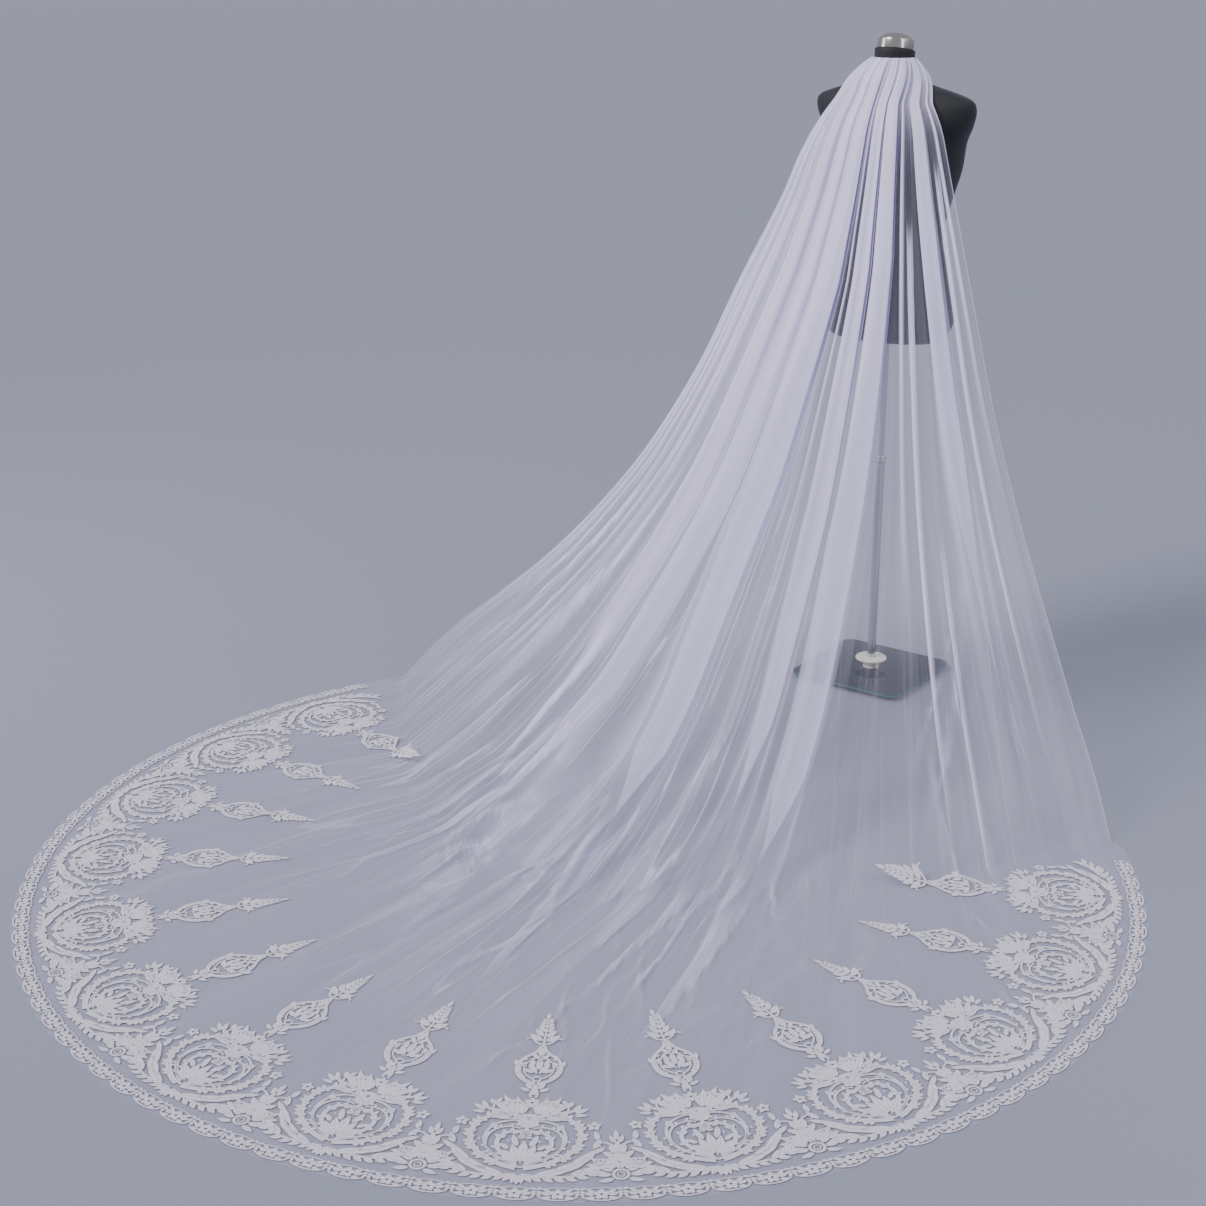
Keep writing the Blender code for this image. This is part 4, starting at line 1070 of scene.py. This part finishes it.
# Polyester satin ribbon: white, with a soft shine and a fine rib across it.
satin, tree, shader = new_material("satin_ribbon")
place = add_node(tree, "ShaderNodeTexCoord", {}, {}, "Object")
ribs = add_node(
    tree, "ShaderNodeTexWave",
    {"Vector": place, "Scale": bands_scale(RIB_PITCH), "Distortion": 0.2},
    {"wave_type": "BANDS", "bands_direction": "Z"}, "Fac",
)
tint = add_node(
    tree, "ShaderNodeMix",
    {FACTOR: ribs, COLOUR_A: linear("#E2DFE8"), COLOUR_B: linear("#F5F3F8")},
    {"data_type": "RGBA"}, MIXED,
)
relief = add_node(tree, "ShaderNodeBump", {"Height": ribs, "Strength": 0.35, "Distance": 0.0003})
set_inputs(shader, {
    "Base Color": tint, "Normal": relief, "Roughness": 0.34, "Sheen Weight": 0.3,
})
heading = add_piece("satin_heading", shape, satin)
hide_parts("heading_band")


# ---------------------------------------------------------------------------------------------
# Dress form. A half form for display, moulded with no head, arms or legs, and covered in close
# black jersey that runs on over its neck.

# Each row of the form is its height, half its width and half its depth, how far back its middle
# lies, and how square its outline is: 2 is an ellipse
FORM = [
    (0.858, 0.132, 0.090, 0.000, 2.3), (0.868, 0.144, 0.102, 0.000, 2.3),
    (0.900, 0.157, 0.110, 0.002, 2.3), (0.960, 0.155, 0.108, 0.002, 2.3),
    (1.020, 0.138, 0.096, 0.003, 2.2), (1.080, 0.120, 0.086, 0.004, 2.2),
    (1.120, 0.121, 0.087, 0.006, 2.2), (1.190, 0.136, 0.098, 0.012, 2.2),
    (1.250, 0.150, 0.108, 0.018, 2.2), (1.310, 0.164, 0.100, 0.008, 2.2),
    (1.350, 0.186, 0.086, -0.006, 2.3), (1.385, 0.197, 0.070, -0.014, 2.4),
    (1.408, 0.190, 0.056, -0.020, 2.3), (1.424, 0.150, 0.050, -0.024, 2.1),
    (1.438, 0.098, 0.047, -0.028, 2.0), (1.450, 0.068, 0.0465, -0.030, 2.0),
    (1.464, 0.051, 0.0460, -0.030, 2.0), (1.478, 0.0455, 0.0455, -0.030, 2.0),
    (1.506, 0.0455, 0.0455, -0.030, 2.0),
]
FORM_AROUND = 96
FORM_FINENESS = 5
FORM_LIP = 0.010
CAP_TILT = 9.0
CAP_BASE = 1.5064
TILTED_FROM = 1.486
TILTED_RUN = 0.020
LOOP_PITCH = 0.002
WELD = 0.00001
cap_rise = 0.0415 * math.sin(math.radians(CAP_TILT))


def close_skin(shape):
    """Join a mesh's seams, fill its open ends and turn its faces outwards."""
    bmesh.ops.remove_doubles(shape, verts=shape.verts[:], dist=WELD)
    bmesh.ops.holes_fill(shape, edges=[edge for edge in shape.edges if edge.is_boundary])
    bmesh.ops.recalc_face_normals(shape, faces=shape.faces)


levels = rounded_rows(FORM, FORM_FINENESS)
height, half_width, half_depth, middle_y, squareness = levels[0]
levels.insert(0, (height, half_width - FORM_LIP, half_depth - FORM_LIP, middle_y, squareness))
last_level = len(levels) - 1
shape = bmesh.new()
skin = bmesh.ops.create_grid(shape, x_segments=FORM_AROUND, y_segments=last_level, size=0.5)["verts"]
for corner in skin:
    turn = 2.0 * math.pi * (corner.co.x + 0.5)
    level = levels[round((corner.co.y + 0.5) * last_level)]
    height, half_width, half_depth, middle_y, squareness = level
    power = 2.0 / squareness
    cosine, sine = math.cos(turn), math.sin(turn)
    aside = half_width * math.copysign(abs(cosine) ** power, cosine)
    deep = half_depth * math.copysign(abs(sine) ** power, sine)
    under_cap = cap_rise - deep * math.tan(math.radians(CAP_TILT))
    tilted = float(ease((height - TILTED_FROM) / TILTED_RUN))
    corner.co = (aside, middle_y + deep, height + under_cap * tilted)
close_skin(shape)

# Polyester jersey, knitted and stretched over the form: near black, with a soft sheen. Its loops
# are 0.6 mm apart, drawn at 2 mm so that they show.
jersey, tree, shader = new_material("black_jersey")
place = add_node(tree, "ShaderNodeTexCoord", {}, {}, "Object")
loops = add_node(
    tree, "ShaderNodeTexWave",
    {"Vector": place, "Scale": bands_scale(LOOP_PITCH), "Distortion": 1.4, "Detail": 2.0,
     "Detail Scale": 3.0},
    {"wave_type": "BANDS", "bands_direction": "Z"}, "Fac",
)
shading = add_node(tree, "ShaderNodeTexNoise", {"Vector": place, "Scale": 9.0, "Detail": 4.0})
tint = add_node(
    tree, "ShaderNodeMix",
    {FACTOR: shading, COLOUR_A: linear("#0E0E12"), COLOUR_B: linear("#1D1D24")},
    {"data_type": "RGBA"}, MIXED,
)
relief = add_node(tree, "ShaderNodeBump", {"Height": loops, "Strength": 0.3, "Distance": 0.0004})
set_inputs(shader, {
    "Base Color": tint, "Normal": relief, "Roughness": 0.68, "Sheen Weight": 0.22,
    "Sheen Roughness": 0.45, "Sheen Tint": linear("#9DA0B8"),
})
torso = add_piece("jersey_form", shape, jersey)
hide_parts("form_torso")


# ---------------------------------------------------------------------------------------------
# Neck cap. A spun steel lid with a rolled lower rim, pressed into the top of the neck and tipped
# a little forwards.

CAP_PROFILE = [
    (0.0300, 0.0000), (0.0405, 0.0000), (0.0413, 0.0006), (0.0415, 0.0018), (0.0413, 0.0196),
    (0.0409, 0.0214), (0.0396, 0.0232), (0.0335, 0.0288), (0.0268, 0.0330), (0.0245, 0.0338),
    (0.0060, 0.0341),
]


def turned(profile, steps, foot=0.0):
    """Turn a profile of radius and height about the upright axis, and close its ends."""
    shape = bmesh.new()
    corners = [shape.verts.new((radius, 0.0, foot + height)) for radius, height in profile]
    outline = [shape.edges.new(pair) for pair in zip(corners, corners[1:])]
    bmesh.ops.spin(
        shape, geom=corners + outline, cent=(0.0, 0.0, 0.0), axis=(0.0, 0.0, 1.0),
        angle=2.0 * math.pi, steps=steps, use_merge=True,
    )
    close_skin(shape)
    return shape


shape = turned(CAP_PROFILE, 72)
tip = Matrix.Rotation(-math.radians(CAP_TILT), 4, "X")
tip = Matrix.Translation((0.0, NECK_Y, CAP_BASE + cap_rise)) @ tip
bmesh.ops.transform(shape, matrix=tip, verts=shape.verts)

# Polished stainless steel, spun: bright, with fine rings from the lathe.
steel, tree, shader = new_material("spun_steel")
place = add_node(tree, "ShaderNodeTexCoord", {}, {}, "Object")
ring_place = add_node(tree, "ShaderNodeMapping", {"Vector": place, "Scale": (0.2, 0.2, 14.0)})
rings = add_node(tree, "ShaderNodeTexNoise", {"Vector": ring_place, "Scale": 60.0, "Detail": 3.0})
shine = add_node(tree, "ShaderNodeMapRange", {"Value": rings, "To Min": 0.14, "To Max": 0.30})
set_inputs(shader, {"Base Color": linear("#B0ABA9"), "Metallic": 1.0, "Roughness": shine})
cap = add_piece("steel_cap", shape, steel)
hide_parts("neck_cap")


# ---------------------------------------------------------------------------------------------
# Pole. A telescopic tube of chromed steel: the upper tube slides in the lower one, whose mouth
# has a pressed sleeve.

COLLAR_FOOT = 0.0161
UPPER_FOOT = 0.5643
LOWER_PROFILE = [
    (0.0020, 0.0), (0.0098, 0.0), (0.0105, 0.0007), (0.0105, 0.5299), (0.0107, 0.5312),
    (0.0116, 0.5322), (0.0118, 0.5332), (0.0118, 0.5402), (0.0114, 0.5410), (0.0118, 0.5418),
    (0.0118, 0.5459), (0.0112, 0.5474), (0.0098, 0.5479), (0.0020, 0.5479),
]
UPPER_PROFILE = [(0.0020, 0.0), (0.0072, 0.0), (0.0072, 0.2934), (0.0020, 0.2934)]

# Chromed steel tube: bright and hard, dulled a little along its length by handling.
chrome, tree, shader = new_material("chromed_tube")
place = add_node(tree, "ShaderNodeTexCoord", {}, {}, "Object")
handling = add_node(
    tree, "ShaderNodeTexNoise", {"Vector": place, "Scale": 22.0, "Detail": 6.0, "Roughness": 0.65}
)
shine = add_node(tree, "ShaderNodeMapRange", {
    "Value": handling, "From Min": 0.35, "From Max": 0.75, "To Min": 0.08, "To Max": 0.24,
})
set_inputs(shader, {"Base Color": linear("#C9C8CC"), "Metallic": 1.0, "Roughness": shine})
lower_tube = add_piece("lower_tube", turned(LOWER_PROFILE, 48, COLLAR_FOOT), chrome)
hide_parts("pole_lower")
upper_tube = add_piece("upper_tube", turned(UPPER_PROFILE, 40, UPPER_FOOT), chrome)
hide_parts("pole_upper")
for tube in (lower_tube, upper_tube):
    tube.data.set_sharp_from_angle(angle=math.radians(40.0))


# ---------------------------------------------------------------------------------------------
# Collar. A moulded plastic hub with a wide flange, which centres the pole on the glass and is
# clamped by a screw through its side.

COLLAR_OUTLINE = [
    (0.0109, 0.0000), (0.0186, 0.0000), (0.0190, 0.0006), (0.0180, 0.0030), (0.0172, 0.0120),
    (0.0166, 0.0190), (0.0172, 0.0206), (0.0366, 0.0213), (0.0384, 0.0219), (0.0388, 0.0234),
    (0.0384, 0.0250), (0.0372, 0.0259), (0.0176, 0.0264), (0.0160, 0.0270), (0.0150, 0.0275),
    (0.0109, 0.0275), (0.0109, 0.0000),
]


def refinish(names, finish):
    """Give a new material to pieces that are carried over from the CAD."""
    for name in names:
        for slot in bpy.data.objects[name].material_slots:
            slot.material = finish


# ABS plastic, injection-moulded: cream, satin, yellowed a little with age.
cream, tree, shader = new_material("moulded_abs")
place = add_node(tree, "ShaderNodeTexCoord", {}, {}, "Object")
age = add_node(tree, "ShaderNodeTexNoise", {"Vector": place, "Scale": 30.0, "Detail": 3.0})
tint = add_node(
    tree, "ShaderNodeMix",
    {FACTOR: age, COLOUR_A: linear("#DDD8C4"), COLOUR_B: linear("#EAE6D8")},
    {"data_type": "RGBA"}, MIXED,
)
grain = add_node(tree, "ShaderNodeTexNoise", {"Vector": place, "Scale": 900.0})
relief = add_node(tree, "ShaderNodeBump", {"Height": grain, "Strength": 0.15, "Distance": 0.0002})
set_inputs(shader, {"Base Color": tint, "Normal": relief, "Roughness": 0.38})
hub = add_piece("plastic_hub", turned(COLLAR_OUTLINE, 64, COLLAR_FOOT), cream)
hub.data.set_sharp_from_angle(angle=math.radians(35.0))
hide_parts("collar")
refinish(["collar_screw"], cream)


# ---------------------------------------------------------------------------------------------
# Foot. A square of dark toughened glass with rounded corners and a polished edge, standing on
# rubber pads and a washer under the pole.

PLATE_SIDE = 0.300
PLATE_CORNER = 0.030
PLATE_UNDERSIDE = 0.0083
PLATE_THICK = 0.0075
PLATE_ROUNDING = 0.0016
shape = bmesh.new()
bmesh.ops.create_cube(shape, size=1.0)
bmesh.ops.scale(shape, vec=(PLATE_SIDE, PLATE_SIDE, PLATE_THICK), verts=shape.verts)
for upright, offset, segments in ((True, PLATE_CORNER, 14), (False, PLATE_ROUNDING, 4)):
    edges = [
        edge for edge in shape.edges
        if (abs(edge.verts[0].co.z - edge.verts[1].co.z) > PLATE_THICK / 2.0) == upright
    ]
    bmesh.ops.bevel(
        shape, geom=edges, offset=offset, segments=segments, affect="EDGES", profile=0.5, material=-1
    )
bmesh.ops.translate(shape, vec=(0.0, 0.0, PLATE_UNDERSIDE + PLATE_THICK / 2.0), verts=shape.verts)

# Toughened float glass, body-tinted and back-coated: nearly black green, paler green at its
# polished edge, where light runs along inside it.
glass, tree, shader = new_material("tinted_glass")
facing = add_node(tree, "ShaderNodeTexCoord", {}, {}, "Normal")
upward = add_node(tree, "ShaderNodeSeparateXYZ", {"Vector": facing}, {}, "Z")
level = add_node(tree, "ShaderNodeMath", {0: upward}, {"operation": "ABSOLUTE"})
tint = add_node(
    tree, "ShaderNodeMix",
    {FACTOR: level, COLOUR_A: linear("#2F6A60"), COLOUR_B: linear("#0B2026")},
    {"data_type": "RGBA"}, MIXED,
)
set_inputs(shader, {
    "Base Color": tint, "Roughness": 0.08, "IOR": 1.52, "Specular IOR Level": 0.09,
})
plate = add_piece("glass_foot", shape, glass)
plate.data.set_sharp_from_angle(angle=math.radians(30.0))
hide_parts("base_plate")

# Black rubber, moulded: dull, a little dusty.
rubber, tree, shader = new_material("moulded_rubber")
place = add_node(tree, "ShaderNodeTexCoord", {}, {}, "Object")
dust = add_node(tree, "ShaderNodeTexNoise", {"Vector": place, "Scale": 120.0, "Detail": 4.0})
tint = add_node(
    tree, "ShaderNodeMix",
    {FACTOR: dust, COLOUR_A: linear("#161616"), COLOUR_B: linear("#2E2D2C")},
    {"data_type": "RGBA"}, MIXED,
)
set_inputs(shader, {"Base Color": tint, "Roughness": 0.82})
pads = ["pad_left_back", "pad_left_front", "pad_right_back", "pad_right_front"]
refinish([*pads, "pole_washer"], rubber)


# ---------------------------------------------------------------------------------------------
# Floor and light. A plain pale floor, two broad suns from behind the camera's left and right, a
# tall soft box on each side and an even pale sky.

FLOOR_HALF = 140.0
FLOOR_DROP = 0.0006
shape = bmesh.new()
bmesh.ops.create_grid(shape, x_segments=1, y_segments=1, size=FLOOR_HALF)
floor_mesh = bpy.data.meshes.new("floor")
shape.to_mesh(floor_mesh)
shape.free()
floor = bpy.data.objects.new("floor", floor_mesh)
floor.location.z = -FLOOR_DROP
bpy.context.scene.collection.objects.link(floor)
plain_floor, tree, shader = new_material("plain_floor")
set_inputs(shader, {"Base Color": linear("#8C8FA1"), "Roughness": 0.9})
floor_mesh.materials.append(plain_floor)

# Each sun shines along a direction, and each box stands at a place and faces the veil
SUNS = [
    ("key", (0.41, 0.80, -0.75), 24.0, 2.7),
    ("fill", (-0.80, -0.10, -0.60), 50.0, 0.45),
]
SOFT_BOXES = [
    ("left box", (-3.2, -2.2, 2.2), 0.9, 2.6, 34.0),
    ("right box", (3.2, -1.0, 2.4), 0.6, 2.2, 20.0),
]
LIT_POINT = Vector((0.0, 0.0, 1.3))


def add_light(name, kind, place, towards, power):
    """A light that stands at a place and shines in a direction."""
    light_data = bpy.data.lights.new(name, kind)
    light_data.energy = power
    light = bpy.data.objects.new(name, light_data)
    light.location = place
    light.rotation_euler = towards.to_track_quat("-Z", "Y").to_euler()
    bpy.context.scene.collection.objects.link(light)
    return light_data


for name, towards, spread, power in SUNS:
    sun = add_light(name, "SUN", (0.0, 0.0, 3.0), Vector(towards), power)
    sun.angle = math.radians(spread)
for name, place, width, height, power in SOFT_BOXES:
    box = add_light(name, "AREA", place, LIT_POINT - Vector(place), power)
    box.shape = "RECTANGLE"
    box.size = width
    box.size_y = height
world = bpy.data.worlds.new("sky")
world.use_nodes = True
set_inputs(world.node_tree.nodes["Background"], {"Color": linear("#E4E6F0"), "Strength": 0.66})
bpy.context.scene.world = world
